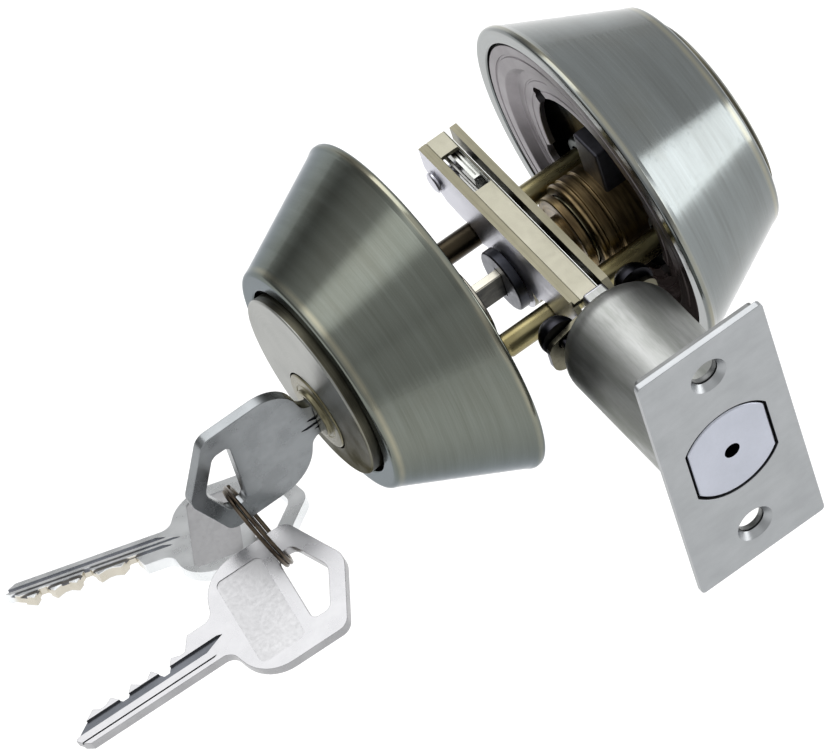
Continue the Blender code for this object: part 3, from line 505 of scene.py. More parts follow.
def half_dark(name):
    """Olive zinc screw, near-black towards its exterior end."""
    f = Finish(name)
    streak = f.noise(f.stretched(500, 120, 500), 1.0, 5.0, 0.65)
    cloud = f.noise(f.position, 180.0, 4.0)
    colour = f.mix(f.remap(streak, 0.38, 0.62), (0.19, 0.165, 0.08), (0.33, 0.295, 0.165))
    # Darker towards -y, the exterior end
    along = f.math("ADD", f.split.outputs["Y"], f.remap(cloud, 0.3, 0.7, -1.5 * MM, 1.5 * MM))
    colour = f.mix(f.remap(along, -3.0 * MM, 3.0 * MM, 0.93, 0.0), colour, (0.022, 0.016, 0.012))
    return f.finish(colour, f.remap(streak, 0.3, 0.7, 0.24, 0.36), streak, 0.05, 0.00004)


def top_highlight_bar(name):
    """Dark bar of the tailpiece, with a painted highlight along its top edge."""
    f = Finish(name)
    streak = f.noise(f.stretched(400, 120, 400), 1.0, 5.0, 0.65)
    colour = f.mix(f.remap(streak, 0.38, 0.62), (0.030, 0.030, 0.028), (0.085, 0.083, 0.072))
    # Painted highlight along the top edge
    top = f.remap(f.split.outputs["Z"], -3.95 * MM, -3.75 * MM)
    colour = f.mix(top, colour, (0.52, 0.50, 0.43))
    return f.finish(colour, f.remap(streak, 0.3, 0.7, 0.26, 0.38), streak, 0.05, 0.00004)


LOOK = {
    "rose_exterior": antique_nickel("antique nickel, exterior", "exterior", (0.138, 0.149, 0.126),
                                    (0.190, 0.207, 0.184), (0.58, 0.61, 0.66, 1.0)),
    "rose_interior": antique_nickel("antique nickel, interior", "interior", (0.157, 0.169, 0.166),
                                    (0.215, 0.235, 0.236), (1.0, 1.0, 1.0, 1.0)),
    # Disc face: its darker lower right is tarnish plus painted shadow of the keys
    "disc": spun("satin nickel face", 0.0, (0.235, 0.24, 0.225), (0.31, 0.315, 0.295),
                 tarnish_and_shade=(0.15, 0.138, 0.09)),
    # Disc edge: near-black, painted shade in the gap round the disc
    "disc_edge": spun("nickel edge, painted shade", 0.0, (0.040, 0.038, 0.028), (0.10, 0.095, 0.07)),
    "brass": spun("turned brass", -DROP, (0.11, 0.10, 0.060), (0.20, 0.185, 0.12), (0.24, 0.36)),
    "core": core_brass("browned brass core"),
    # Cylinder body and guard ring: near-black, painted shade inside the roses; the posts keep the
    # casting's lit colour
    "shaded_zinc_cast": cast("die-cast zinc, painted shade", (0.030, 0.030, 0.036), (0.075, 0.075, 0.088)),
    "post": cast("die-cast zinc post", (0.15, 0.165, 0.16), (0.24, 0.255, 0.25)),
    # Mounting plate: the near-black at its lower right is painted shade inside the rose
    "plate": spun("pressed steel, grey zinc", 0.0, (0.17, 0.155, 0.165), (0.29, 0.272, 0.285),
                  (0.34, 0.46), 1800.0, tarnish_and_shade=(0.030, 0.024, 0.020)),
    "case": satin("yellow zinc sheet", (0.125, 0.118, 0.083), (0.20, 0.188, 0.138), (0.26, 0.38),
                  (50, 1300, 1300), bump=0.05),
    # Top of the case slab: lighter, painted light from overhead
    "case_top_lit": cast("yellow zinc, painted top light", (0.30, 0.29, 0.23), (0.42, 0.405, 0.33), (0.36, 0.48), 1300.0),
    # Bright zinc for the rivets, also a painted highlight on the case's -y side and the barrel's tongue
    "bright_zinc_and_highlight": satin("bright zinc and painted highlight", (0.56, 0.56, 0.62), (0.68, 0.68, 0.74), (0.28, 0.40),
                       (60, 900, 900), bump=0.05),
    "tail": satin("cold-rolled steel", (0.34, 0.35, 0.33), (0.56, 0.57, 0.55), (0.20, 0.32),
                  (50, 1300, 1300)),
    "barrel": drawn_tube("drawn tube, bright zinc"),
    "face": satin("satin stainless", (0.335, 0.348, 0.358), (0.385, 0.398, 0.41), (0.30, 0.38),
                  (1500, 130, 420), 150.0, 0.03),
    "backing": cast("grey zinc plate", (0.16, 0.165, 0.165), (0.25, 0.255, 0.255)),
    "bolt": cast("blasted nickel", (0.45, 0.47, 0.53), (0.52, 0.54, 0.61), (0.38, 0.50), 1500.0, 0.05),
    "bolt_side": cast("bolt flank, darker", (0.14, 0.145, 0.16), (0.24, 0.25, 0.27),
                      (0.30, 0.42), 1200.0, 0.05),
    # Pin bore: near-black, painted shade inside the hole; the hardened pin in it takes the same
    "bore": cast("bore, painted shade", (0.008, 0.008, 0.010), (0.020, 0.020, 0.024), (0.45, 0.6)),
    "screw": satin("olive zinc screw", (0.20, 0.17, 0.08), (0.36, 0.32, 0.17), (0.22, 0.34),
                   (500, 120, 500), bump=0.05),
    "screw_dark": half_dark("olive screw, darker exterior half"),
    "black": cast("black oxide", (0.012, 0.012, 0.015), (0.035, 0.035, 0.042),
                  (0.26, 0.40), 700.0, 0.06),
    "hub": cast("dark sintered hub", (0.020, 0.021, 0.026), (0.050, 0.052, 0.062),
                (0.28, 0.42), 900.0, 0.08),
    # Hub's -y end: lighter, painted highlight
    "hub_end_highlight": cast("hub end, painted highlight", (0.12, 0.125, 0.15), (0.20, 0.205, 0.24),
                     (0.30, 0.42), 900.0, 0.05),
    "tailpiece": top_highlight_bar("dark tailpiece, painted top highlight"),
    "steel": satin("plain steel", (0.30, 0.31, 0.32), (0.46, 0.47, 0.48), (0.22, 0.36), (500, 500, 500)),
    "spring": satin("spring wire", (0.42, 0.42, 0.41), (0.62, 0.62, 0.60), (0.20, 0.30),
                    (500, 500, 500)),
    # One nickel on all three keys: key_1 set darker as painted shade, key_2 set lighter as painted light
    "key_1": key_nickel("key nickel, painted shade", (0.215, 0.227, 0.235), (0.264, 0.278, 0.288), 0.4),
    "key_2": key_nickel("key nickel, painted light", (0.74, 0.76, 0.77), (0.84, 0.86, 0.87), 0.5),
    "key_3": key_nickel("key nickel, bright", (0.345, 0.345, 0.355), (0.40, 0.40, 0.41), 0.0),
    "panel": cast("matte key panel", (0.45, 0.45, 0.46), (0.51, 0.51, 0.52), (0.38, 0.50), 1400.0, 0.05),
    # Groove floors: painted shade in the grooves, darker than the faces of key_2 and key_3; darkest on
    # key_3
    "groove": satin("milled groove", (0.20, 0.205, 0.235), (0.30, 0.305, 0.34), (0.24, 0.36),
                    (400, 2200, 900), bump=0.03),
    "groove_deep_shade": satin("milled groove, deep painted shade", (0.060, 0.064, 0.072), (0.11, 0.116, 0.13), (0.24, 0.36),
                         (400, 2200, 900), bump=0.03),
    "ring": cast("bronzed wire", (0.050, 0.038, 0.030), (0.13, 0.105, 0.075), (0.24, 0.36), 500.0, 0.06),
}


def dress(obj, look, *nodes, slot, smooth=34.0):
    """Give a finished piece its look, and let it stand for CAD nodes on their body."""
    obj.data.materials.clear()
    obj.data.materials.append(LOOK[look])
    obj.data.shade_smooth()
    obj.data.set_sharp_from_angle(angle=radians(smooth))
    normals = obj.modifiers.new("normals", "WEIGHTED_NORMAL")
    normals.keep_sharp = True
    normals.weight = 100
    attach(obj, NODES[nodes[0]]["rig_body"])
    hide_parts(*nodes)
    return obj


def second_look(obj, look, chosen):
    """Give the faces for which chosen(centre, normal) holds another look."""
    obj.data.materials.append(LOOK[look])
    index = len(obj.data.materials) - 1
    for face in obj.data.polygons:
        if chosen(face.center / MM, face.normal):
            face.material_index = index
    return obj


# ---------------------------------------------------------------- roses and plates

def rose(side):
    """Flared trim ring with a rolled rim, a soft shoulder and a raised lip round its mouth."""
    slope = (RIM_RADIUS - NOSE_RADIUS) / ROSE_HEIGHT
    corners = [
        (MOUTH, ROSE_HEIGHT - 0.9, 0.0),
        (MOUTH, ROSE_HEIGHT, 0.35),
        (NOSE_RADIUS + 0.1, ROSE_HEIGHT, 0.9),
        (NOSE_RADIUS + slope * 1.9, ROSE_HEIGHT - 1.9, 1.2),
        (RIM_RADIUS - slope * 1.2, 2.0, 0.9),
        (RIM_RADIUS, 1.1, 0.5),
        (RIM_RADIUS, 0.0, 0.55),
        (RIM_RADIUS - 3.0, 0.0, 0.3),
        (RIM_RADIUS - 3.1, 1.2, 0.4),
        (MOUTH + 1.9, ROSE_HEIGHT - 2.1, 0.6),
        (MOUTH, ROSE_HEIGHT - 2.1, 0.0),
    ]
    piece = turned(side + "_rose_shell", rounded(corners, 5, closed=False), side_frame(side), 192)
    return dress(piece, "rose_" + side, side + "_rose", slot="antique_nickel")


def mounting_plate():
    """Pressed plate behind the interior rose, ringed with shallow steps and notched for the posts."""
    local = side_frame("interior")
    corners = [(17.0, 1.8, 0.2)]
    for start, end, height in ((18.4, 18.9, 1.8), (20.6, 21.0, 1.8)):
        corners += [(start, height, 0.03), (start + 0.1, height + 0.15, 0.03),
                    (end, height + 0.15, 0.03), (end + 0.1, height, 0.03)]
    corners += [(22.8, 1.8, 0.3), (24.2, 0.2, 0.4)]
    corners += [(26.4, 0.2, 0.05), (26.5, 0.45, 0.05), (26.9, 0.45, 0.05), (27.0, 0.2, 0.05)]
    corners += [(28.8, 0.2, 0.2), (28.8, 1.4, 0.2), (24.8, 1.4, 0.5), (23.4, 3.0, 0.5), (17.0, 3.0, 0.2)]
    plate = turned("mounting_plate_pressing", rounded(corners, 3), local, 144)
    notches = []
    for angle in (38.0, 142.0, 205.0, 335.0):
        x, y = 17.0 * cos(radians(angle)), 17.0 * sin(radians(angle))
        notches.append(rod("notch", 2.6, 0.0, 4.5, local @ at(x, y, 0), 32))
    boolean(plate, notches)
    return dress(plate, "plate", "interior_mounting_plate", slot="bright_zinc")


def guard_ring():
    """Cone-shaped liner between the exterior rose and its cylinder."""
    corners = [(18.7, 18.3, 0.2), (20.5, 18.3, 0.3), (28.5, 1.5, 0.3), (26.6, 1.5, 0.3),
               (18.7, 16.6, 0.3)]
    ring = turned("guard_ring_liner", rounded(corners, 3), side_frame("exterior"), 144)
    # The liner inside the rose takes the near-black painted shade
    return dress(ring, "shaded_zinc_cast", "exterior_guard_ring", slot="plain_steel")


# ---------------------------------------------------------------- key cylinders

def cylinder_body(side):
    """Disc face, flange, core, bible and screw posts of one cylinder, bored and chambered."""
    local = side_frame(side)
    axis = local @ at(0, -DROP, 0)
    corners = [
        (0, DISC_FACE, 0), (DISC_RADIUS, DISC_FACE, 0.35), (DISC_RADIUS, 20.2, 0.15),
        (18.9, 20.2, 0.2), (18.9, 18.7, 0.2), (0, 18.7, 0),
    ]
    body = turned(side + "_cylinder", rounded(corners, 5, closed=False), local, 144)
    core = [(0, 19.4, 0), (CORE_RADIUS, 19.4, 0), (CORE_RADIUS, BROWNED_TO, 0)]
    for ring in ((-0.4, -3.0) if side == "interior" else ()):
        core += [(CORE_RADIUS, ring, 0.1), (CORE_RADIUS - 0.35, ring - 0.15, 0.1),
                 (CORE_RADIUS - 0.35, ring - 0.75, 0.1), (CORE_RADIUS, ring - 0.9, 0.1)]
    core += [(CORE_RADIUS, CORE_END, 0.5), (0, CORE_END, 0)]
    welds = [turned("core", rounded(core, 3, closed=False), axis, 96)]
    bible_back = CORE_END if side == "exterior" else 1.0
    welds.append(soften(block("bible", (-3.4, -DROP, bible_back), (3.4, 11.5, 19.6), local), 0.5, 3))
    post_back = 1.0 if side == "exterior" else 4.5
    for x in (-SCREW_X, SCREW_X):
        post = [(0, 19.2, 0), (3.9, 19.2, 0), (3.9, post_back, 0.4), (0, post_back, 0)]
        welds.append(turned("post", rounded(post, 3, closed=False), local @ at(x, -DROP, 0), 48))
    boolean(body, welds, "UNION")
    cuts = [rod("bore", 6.9, -6.0, 26.0, axis, 72), rod("mouth", 7.6, 23.2, 26.0, axis, 72)]
    for x in (-SCREW_X, SCREW_X):
        place = local @ at(x, -DROP, 0)
        if side == "exterior":
            cuts.append(rod("thread", 2.55, -1.0, 14.0, place, 32))
        else:
            cuts.append(rod("hole", 2.55, -1.0, 26.0, place, 32))
            cuts.append(rod("seat", 3.55, DISC_FACE - 2.5, 26.0, place, 48))
    boolean(body, cuts)
    # The body's near-black is painted shade inside the rose; disc, core and posts get their own looks
    # below
    dress(body, "shaded_zinc_cast", side + "_cylinder_body", slot="satin_nickel")
    out = -1.0 if side == "exterior" else 1.0
    face_y = RIM_Y[side] + out * DISC_FACE
    second_look(body, "disc", lambda c, n: abs(c.y - face_y) < 1.0)
    # The disc's edge takes a painted shade in the gap inside the rose's mouth
    second_look(body, "disc_edge",
                lambda c, n: 1.0 <= abs(c.y - face_y) < 5.0 and Vector((c.x, c.z)).length > 16.5)
    rim = RIM_Y[side]
    # Near part of the core is brass; deeper in it keeps the body's painted shade
    second_look(body, "core", lambda c, n: (c.y - rim) * out < BROWNED_TO and
                Vector((c.x, c.z + DROP)).length < CORE_RADIUS + 0.15)
    second_look(body, "post", lambda c, n: (c.y - rim) * out < 12.0 and
                Vector((abs(c.x) - SCREW_X, c.z + DROP)).length < 4.0 and abs(c.x) > CORE_RADIUS)
    return body


def plug(side):
    """Brass plug with a raised nose, a recessed line round it and the keyway."""
    axis = side_frame(side) @ at(0, -DROP, 0)
    corners = [
        (0, 25.9, 0), (4.5, 25.9, 0.35), (4.5, 25.1, 0.1), (5.0, 25.1, 0.1), (5.2, 24.9, 0.05),
        (5.4, 25.1, 0.1), (7.3, 25.1, 0.3), (7.3, 23.5, 0.1), (6.6, 23.5, 0.1), (6.6, -5.2, 0.3),
        (0, -5.2, 0),
    ]
    made = turned(side + "_plug_turned", rounded(corners, 3, closed=False), axis, 96)
    slot = [(-1.3, -4.5, 0.2), (1.3, -4.5, 0.2), (1.3, -1.4, 0.1), (1.05, -1.1, 0.1), (1.3, -0.6, 0.1),
            (1.3, 3.8, 0.3), (-1.3, 3.8, 0.3), (-1.3, 1.6, 0.1), (-1.05, 1.2, 0.1), (-1.3, 0.8, 0.1)]
    boolean(made, [sheet("keyway", [rounded(slot, 2)], -3.9, 28.0, axis)])
    return dress(made, "brass", side + "_plug", slot="brass")


def tailpiece(side):
    """Retaining cap behind a plug, with the exterior side's flat bar or the interior side's dog."""
    local = side_frame(side) @ at(0, -DROP, 0)
    cap = [(0, -5.5, 0), (7.6, -5.5, 0.3), (7.6, -7.1, 0.3), (6.2, -7.1, 0.05), (6.1, -6.95, 0.05),
           (0, -6.95, 0)]
    piece = turned(side + "_tailpiece_turned", rounded(cap, 4, closed=False), local, 96)
    if side == "exterior":
        bar = block("bar", (-0.8, -2.8, -22.5), (0.8, 2.8, -6.3), local)
        boolean(piece, [soften(bar, 0.15, 3)], "UNION")
        return dress(piece, "tailpiece", "exterior_tailpiece", slot="plain_steel")
    stem = rod("stem", 4.1, -7.9, -6.3, local, 64)
    boolean(piece, [stem, dog("dog", 270 + KEY_TURN / 2, -9.5, -7.2, local)], "UNION")
    return dress(piece, "core", "interior_tailpiece", slot="plain_steel")


# ---------------------------------------------------------------- latch

def plate_outline():
    """Side of the case, notched for the screws and with a lobe round the hub."""
    notch = 3.0
    left = arc((-SCREW_X, -DROP), notch, 118, 8, 14)
    lobe = arc((0, -DROP), 6.6, 168, 372, 36)
    right = arc((SCREW_X, -DROP), notch, 172, 25, 14)
    rear = [(-23.0, CASE_TOP), (-23.0, 1.5), (-18.0, -3.2)]
    return rear + left + lobe + right + [(15.2, -7.6), (23.5, -7.6), (23.5, 4.4), (21.2, CASE_TOP)]


def flare(name, outward, inner):
    """Foot at the front of a side plate, turned out flat against the barrel."""
    near, reach = outward * inner, outward * 11.0
    corners = [(near, -5.0, 0.0), (reach, -5.0, 2.5), (reach, 2.0, 2.0), (near, 4.4, 0.0)]
    return sheet(name, [rounded(corners, 8)], 22.5, 23.5, ACROSS)


def latch_side(name, layer):
    """One side of the case with its foot, hub hole and rivet holes."""
    hole = arc((0, -DROP), 4.4, 360, 10, 35)
    rivets = [arc(centre, 1.4, 360, 30, 11) for centre in CASE_RIVETS.values()]
    plate = sheet(name, [plate_outline(), hole] + rivets, -layer[1], -layer[0], IN_XZ)
    outward = -1.0 if layer[1] < 0 else 1.0
    inner = min(abs(layer[0]), abs(layer[1]))
    boolean(plate, [flare("foot", outward, inner)], "UNION")
    hole = rod("rivet_hole", 1.2, 19.0, 25.0, at(0, outward * RIVET_Y, RIVET_Z) @ ALONG_X, 32)
    return boolean(plate, [hole])


def latch_case():
    """Folded case: web, top slab with rounded long edges, window and a pressed line."""
    case = latch_side("latch_case_pressing", (-4.0, -2.9))
    corners = [(-3.9, 5.65, 0.0), (1.5, 5.65, 0.25), (1.5, 6.5, 0.35), (-3.9, 6.5, 0.75)]
    slab = sheet("slab", [rounded(corners, 5)], -23.0, 22.0, ACROSS)
    boolean(case, [slab], "UNION")
    window = [(-18.7, -2.3, 0.3), (-8.8, -2.3, 0.3), (-8.8, 1.2, 0.3), (-18.7, 1.2, 0.3)]
    seam = block("seam", (-24.0, -2.42, 6.3), (23.0, -2.27, 7.0))
    boolean(case, [sheet("window", [rounded(window, 4)], 0.0, 9.0), seam])
    soften(case, 0.12, 2, 40)
    dress(case, "case", "latch_case", slot="yellow_zinc")
    # The slab's upward faces take a painted light
    second_look(case, "case_top_lit", lambda c, n: n.z > 0.7 and c.z > 6.0 and c.y > -2.3)
    # The case's -y side is lit with a painted highlight
    return second_look(case, "bright_zinc_and_highlight", lambda c, n: n.y < -0.9 and c.y < -3.9)


def latch_cover():
    """Loose side of the case, towards the interior."""
    cover = latch_side("latch_cover_pressing", (2.5, 3.9))
    soften(cover, 0.18, 2, 40)
    return dress(cover, "case", "latch_cover", slot="yellow_zinc")


def case_rivet(node, x, z):
    """Tie rivet with a flat head on each side of the case."""
    front, back = 4.3, -4.2
    corners = [(0, front + 0.55, 0), (1.9, front + 0.55, 0.4), (2.0, front, 0), (1.1, front, 0),
               (1.1, back, 0), (2.0, back, 0), (1.9, back - 0.55, 0.4), (0, back - 0.55, 0)]
    rivet = turned(node + "_round", rounded(corners, 5, closed=False), at(x, 0, z) @ IN_XZ, 48)
    return dress(rivet, "bright_zinc_and_highlight", node, slot="plain_steel")


def bolt_tail():
    """Slide of the bolt: cross groove, forked rear end and ribs that show in the case's window."""
    tail = block("bolt_tail_bar", (-21.5, -0.35, -1.95), (35.7, 1.9, 5.2))
    groove = -CRANK * sin(radians(KEY_TURN / 2))
    cuts = [block("channel", (groove - 2.1, -1.4, -3.0), (groove + 2.1, 1.05, 6.2)),
            block("fork", (-23.0, -1.4, -0.7), (-18.0, 3.0, 2.3))]
    for x in (0.5, 8.5):
        cuts.append(block("slot", (x, -1.4, 0.8), (x + 5.5, 3.0, 3.2)))
    for y in (0.2, 0.95):
        cuts.append(block("rib", (-20.8, y, 4.6), (-12.6, y + 0.35, 6.0)))
    boolean(tail, cuts)
    return dress(tail, "tail", "bolt_tail", slot="plain_steel")


def dog(name, centre_angle, low, high, matrix):
    """A driving dog: one sector of a ring about the local z axis."""
    start, end = centre_angle - 15.0, centre_angle + 15.0
    sector = arc((0, 0), 4.1, start, end, 8) + arc((0, 0), 2.3, end, start, 8)
    return sheet(name, [sector], low, high, matrix)


def cam_hub():
    """Hub with its collar, slot, crank arm, pin and dog."""
    local = at(0, 0, -DROP) @ IN_XZ
    corners = [(0, 6.2, 0), (5.8, 6.2, 0.4), (5.8, 4.3, 0.2), (4.1, 4.3, 0.1), (4.1, -4.5, 0.2),
               (0, -4.5, 0)]
    hub = turned("cam_hub_turned", rounded(corners, 4, closed=False), local, 72)
    swing = local @ Matrix.Rotation(radians(KEY_TURN / 2), 4, "Z")
    arm = sheet("arm", [[(-3.7, 0)] + arc((0, CRANK), 0.75, 170, 10, 10) + [(3.7, 0)]], 0.75, 2.5, swing)
    pin = rod("pin", 0.73, -0.75, 2.1, swing @ at(0, CRANK, 0), 24)
    boolean(hub, [arm, pin, dog("dog", 90.0, -6.0, -4.0, local)], "UNION")
    boolean(hub, [block("slot", (-1.1, -3.1, -3.3), (1.1, 3.1, 7.0), local)])
    dress(hub, "hub", "cam_hub", slot="black_oxide")
    # The hub's -y end takes a painted highlight
    return second_look(hub, "hub_end_highlight", lambda c, n: n.y < -0.9 and c.y < -6.0)


def barrel():
    """Drawn tube with a long round shoulder, a flat rear wall and a tongue under the case."""
    inner = 10.1
    wall = BARREL_REAR + 1.0
    corners = [
        (0, wall, 0), (inner, wall, 4.5), (inner, 57.1, 0.15), (10.8, 57.1, 0.15),
        (10.8, BARREL_REAR, 5.2), (0, BARREL_REAR, 0),
    ]
    tube = turned("barrel_tube", rounded(corners, 12, closed=False), ALONG_X, 144)
    neck = soften(block("neck", (22.4, -2.2, 5.0), (BARREL_REAR + 2.2, 2.2, 8.0)), 0.7, 4)
    boolean(tube, [neck], "UNION")
    cuts = [block("slot", (22.0, -0.75, -2.35), (28.0, 2.3, 5.6))]
    for y in (-RIVET_Y, RIVET_Y):
        cuts.append(rod("hole", 1.2, 20.0, 28.0, at(0, y, RIVET_Z) @ ALONG_X, 32))
    boolean(tube, cuts)
    dress(tube, "barrel", "bolt_barrel", slot="bright_zinc")
    # The tongue above the shoulder takes a painted highlight
    return second_look(tube, "bright_zinc_and_highlight", lambda c, n: c.x < BARREL_REAR - 0.02 and c.z > 4.9)


def barrel_rivet(name, node, y):
    """Rivet with a round black head, through a foot of the case into the barrel."""
    dome = [(0, 3.8)] + arc((0, 0.3), 3.5, 82, 4, 12) + [(3.42, 0.0), (0.9, 0.0), (0.9, -3.5), (0, -3.5)]
    rivet = turned(name, dome, at(22.2, y, RIVET_Z) @ ALONG_MINUS_X, 64)
    return dress(rivet, "black", node, slot="black_oxide")


def flatted_circle(radius, half_width, count):
    """A circle with its two sides cut flat."""
    edge = degrees(acos(half_width / radius))
    upper = arc((0, 0), radius, edge, 180 - edge, count)
    return upper + arc((0, 0), radius, 180 + edge, 360 - edge, count)


def dead_bolt():
    """Flat-sided bolt with the bore of its pin in front and a slot for its tail behind."""
    bolt = sheet("dead_bolt_bar", [flatted_circle(9.55, 7.8, 40)], 28.0, FACE_X, ACROSS)
    soften(bolt, 0.45, 4, 60)
    bore = rod("bore", 1.5, 42.0, 61.0, ALONG_X, 48)
    boolean(bolt, [bore, block("slot", (27.0, -0.65, -2.25), (36.0, 2.2, 5.5))])
    dress(bolt, "bolt", "dead_bolt", slot="satin_bolt")
    # The flanks are darker than the bolt's end
    second_look(bolt, "bolt_side", lambda c, n: abs(n.x) < 0.3)
    # The bore's walls take a painted shade
    return second_look(bolt, "bore", lambda c, n: c.x > 41.9 and Vector((c.y, c.z)).length < 1.6)


def oblong(half_width, half_height, radius):
    """Corners of a centred rectangle."""
    return [(-half_width, -half_height, radius), (half_width, -half_height, radius),
            (half_width, half_height, radius), (-half_width, half_height, radius)]


def face_plate():
    """Faceplate with the bolt's mouth and two countersunk screw holes."""
    corners = oblong(*FACE_HALF, 0.8)
    mouth = flatted_circle(*BOLT_MOUTH, 40)[::-1]
    plate = sheet("faceplate_satin", [rounded(corners, 6), mouth], 58.8, FACE_X, ACROSS)
    soften(plate, 0.16, 3, 60)
    cone = [(0, 60.5), (3.95, 60.5), (3.55, 60.02), (3.45, 59.92), (2.5, 58.75), (2.45, 58.6),
            (2.45, 58.0), (0, 58.0)]
    sinks = [turned("sink", cone, at(0, 0, z) @ ALONG_X, 64) for z in (-FACE_SCREW_Z, FACE_SCREW_Z)]
    boolean(plate, sinks)
    return dress(plate, "face", "faceplate", slot="satin_stainless")


def backing_plate():
    """Plain plate behind the faceplate, a little smaller all round."""
    corners = oblong(FACE_HALF[0] - 0.9, FACE_HALF[1] - 0.9, 0.8)
    holes = [arc((0, z), 2.4, 360, 10, 35) for z in (-FACE_SCREW_Z, FACE_SCREW_Z)]
    mouth = flatted_circle(*BOLT_MOUTH, 40)[::-1]
    plate = sheet("backing_plate_flat", [rounded(corners, 5), mouth] + holes, 57.5, 58.5, ACROSS)
    soften(plate, 0.12, 2, 60)
    return dress(plate, "backing", "backing_plate", slot="bright_zinc")


# ---------------------------------------------------------------- screws

def mounting_screw(name, node, x, look):
    """Machine screw with a plain shank, a rolled thread at its end and a crossed head."""
    face, end = 39.1, -31.5
    pitch, depth, around, per_turn = 0.8, 0.28, 32, 8
    shape = bmesh.new()
    rings = [circle(shape, 1.4, end, around)]
    low, high = end + 1.0, -14.0
    count = int((high - low) / pitch * per_turn)
    for i in range(count + 1):
        height = low + (high - low) * i / count
        ring = []
        for k in range(around):
            angle = 2 * pi * k / around
            phase = (height / pitch - k / around) % 1.0
            radius = 2.25 - depth * (1 - abs(2 * phase - 1))
            ring.append(shape.verts.new((radius * cos(angle), radius * sin(angle), height)))
        rings.append(ring)
    plain = [(2.0, -13.6), (2.2, -13.2), (2.2, face - 2.2), (3.25, face - 2.2), (3.25, face - 0.5),
             (3.1, face - 0.15), (2.8, face)]
    rings += [circle(shape, radius, height, around) for radius, height in plain]
    bridge(shape, rings)
    local = at(x, 0, -DROP) @ ALONG_Y
    screw = from_shape(name, shape, local)
    cross = [block("cross", (-2.0, -0.45, face - 1.2), (2.0, 0.45, face + 1.0),
                   local @ Matrix.Rotation(turn, 4, "Z"))
             for turn in (0, pi / 2)]
    boolean(screw, cross)
    return dress(screw, look, node, slot="screw_olive", smooth=50)


# ---------------------------------------------------------------- keys

def key_outline(cuts):
    """Outline of a key: blade, bow and the saw of its cuts."""
    first, step = BLADE - 5.9, 3.97
    blade = [(0.8, -3.3, 0), (2.0, -4.2, 0)]
    bow = [
        (BLADE + 1.2, -4.2, 2.2), (BLADE + 3.6, KEY_AXIS - 12.2, 7.5),
        (BLADE + 20.0, KEY_AXIS - 12.2, 2.6), (BLADE + 25.6, KEY_AXIS, 4.0),
        (BLADE + 20.0, KEY_AXIS + 12.2, 2.6), (BLADE + 3.6, KEY_AXIS + 12.2, 7.5),
        (BLADE + 1.2, 3.5, 2.2),
    ]
    bitting = [(first + 2.2, 3.5)]
    for i, floor in enumerate(cuts):
        middle = first - step * i
        bitting += [(middle + 0.55, floor), (middle - 0.55, floor), (middle - step / 2, 1.45)]
    bitting[-1] = (middle - 1.6, 1.45)
    sharp = [(x, y, 0) for x, y in bitting + [(1.2, -1.2), (0.0, -2.2)]]
    return rounded(blade + bow + sharp, 10)


def bow_hole():
    """House-shaped opening at the far end of the bow."""
    near, far = BLADE + 15.6, BLADE + 22.4
    return rounded([
        (near, KEY_AXIS - 7.4, 1.2), (near, KEY_AXIS + 7.4, 1.2), (near + 3.4, KEY_AXIS + 7.4, 1.6),
        (far, KEY_AXIS + 0.01, 3.0), (near + 3.4, KEY_AXIS - 7.4, 1.6),
    ], 8)


def key(name, panels, groove="groove"):
    """Milled key: pointed grooves along both sides of the blade, and a sunk plain panel on the bow."""
    plate = sheet(name + "_milled", [key_outline(KEY_CUTS[name]), bow_hole()], -1.0, 1.0)
    soften(plate, 0.16, 3, 50)
    cuts = []
    for face, grooves in GROOVES.items():
        low, high = sorted((face * 0.5, face * 1.5))
        for centre, half, past in grooves:
            end = BLADE + past
            line = [(-1.0, centre - half), (end - 4 * half, centre - half), (end, centre + half * 0.6),
                    (end - half, centre + half), (-1.0, centre + half)]
            cuts.append(sheet("groove", [line], low, high))
    for face in panels:
        pad = [(BLADE + 4.6, KEY_AXIS - 9.4, 1.2), (BLADE + 13.4, KEY_AXIS - 9.4, 1.2),
               (BLADE + 13.4, KEY_AXIS + 9.4, 1.2), (BLADE + 4.6, KEY_AXIS + 9.4, 1.2)]
        low, high = sorted((face * 0.84, face * 1.5))
        cuts.append(sheet("panel", [rounded(pad, 6)], low, high))
    boolean(plate, cuts)
    plate.matrix_world = frame_from(*KEY_FRAMES[name])
    dress(plate, name, name, slot="key_nickel")
    second_look(plate, "panel", lambda c, n: abs(n.z) > 0.9 and 0.8 < abs(c.z) < 0.9)
    # The groove floors take a painted shade
    return second_look(plate, groove, lambda c, n: abs(n.z) > 0.9 and abs(c.z) < 0.6)


def key_ring():
    """Split ring: two close turns of wire with overlapping cut ends."""
    spin = Vector((0, 0, 1)).rotation_difference(Vector(RING_NORMAL)).to_matrix().to_4x4()
    turns, count, radius, wire, gap = 1.92, 220, 8.2, 0.38, 0.80
    points = []
    for i in range(count + 1):
        share = i / count
        angle = radians(150) + 2 * pi * turns * share
        ramp = min(1.0, max(0.0, (share - 0.42) / 0.16))
        points.append((radius * cos(angle), radius * sin(angle), gap * (ramp - 0.5)))
    ring = swept("key_ring_split", points, wire, 12)
    ring.matrix_world = at(*RING_CENTRE) @ spin
    return dress(ring, "ring", "key_ring", slot="ring_bronze")


# ---------------------------------------------------------------- assembly

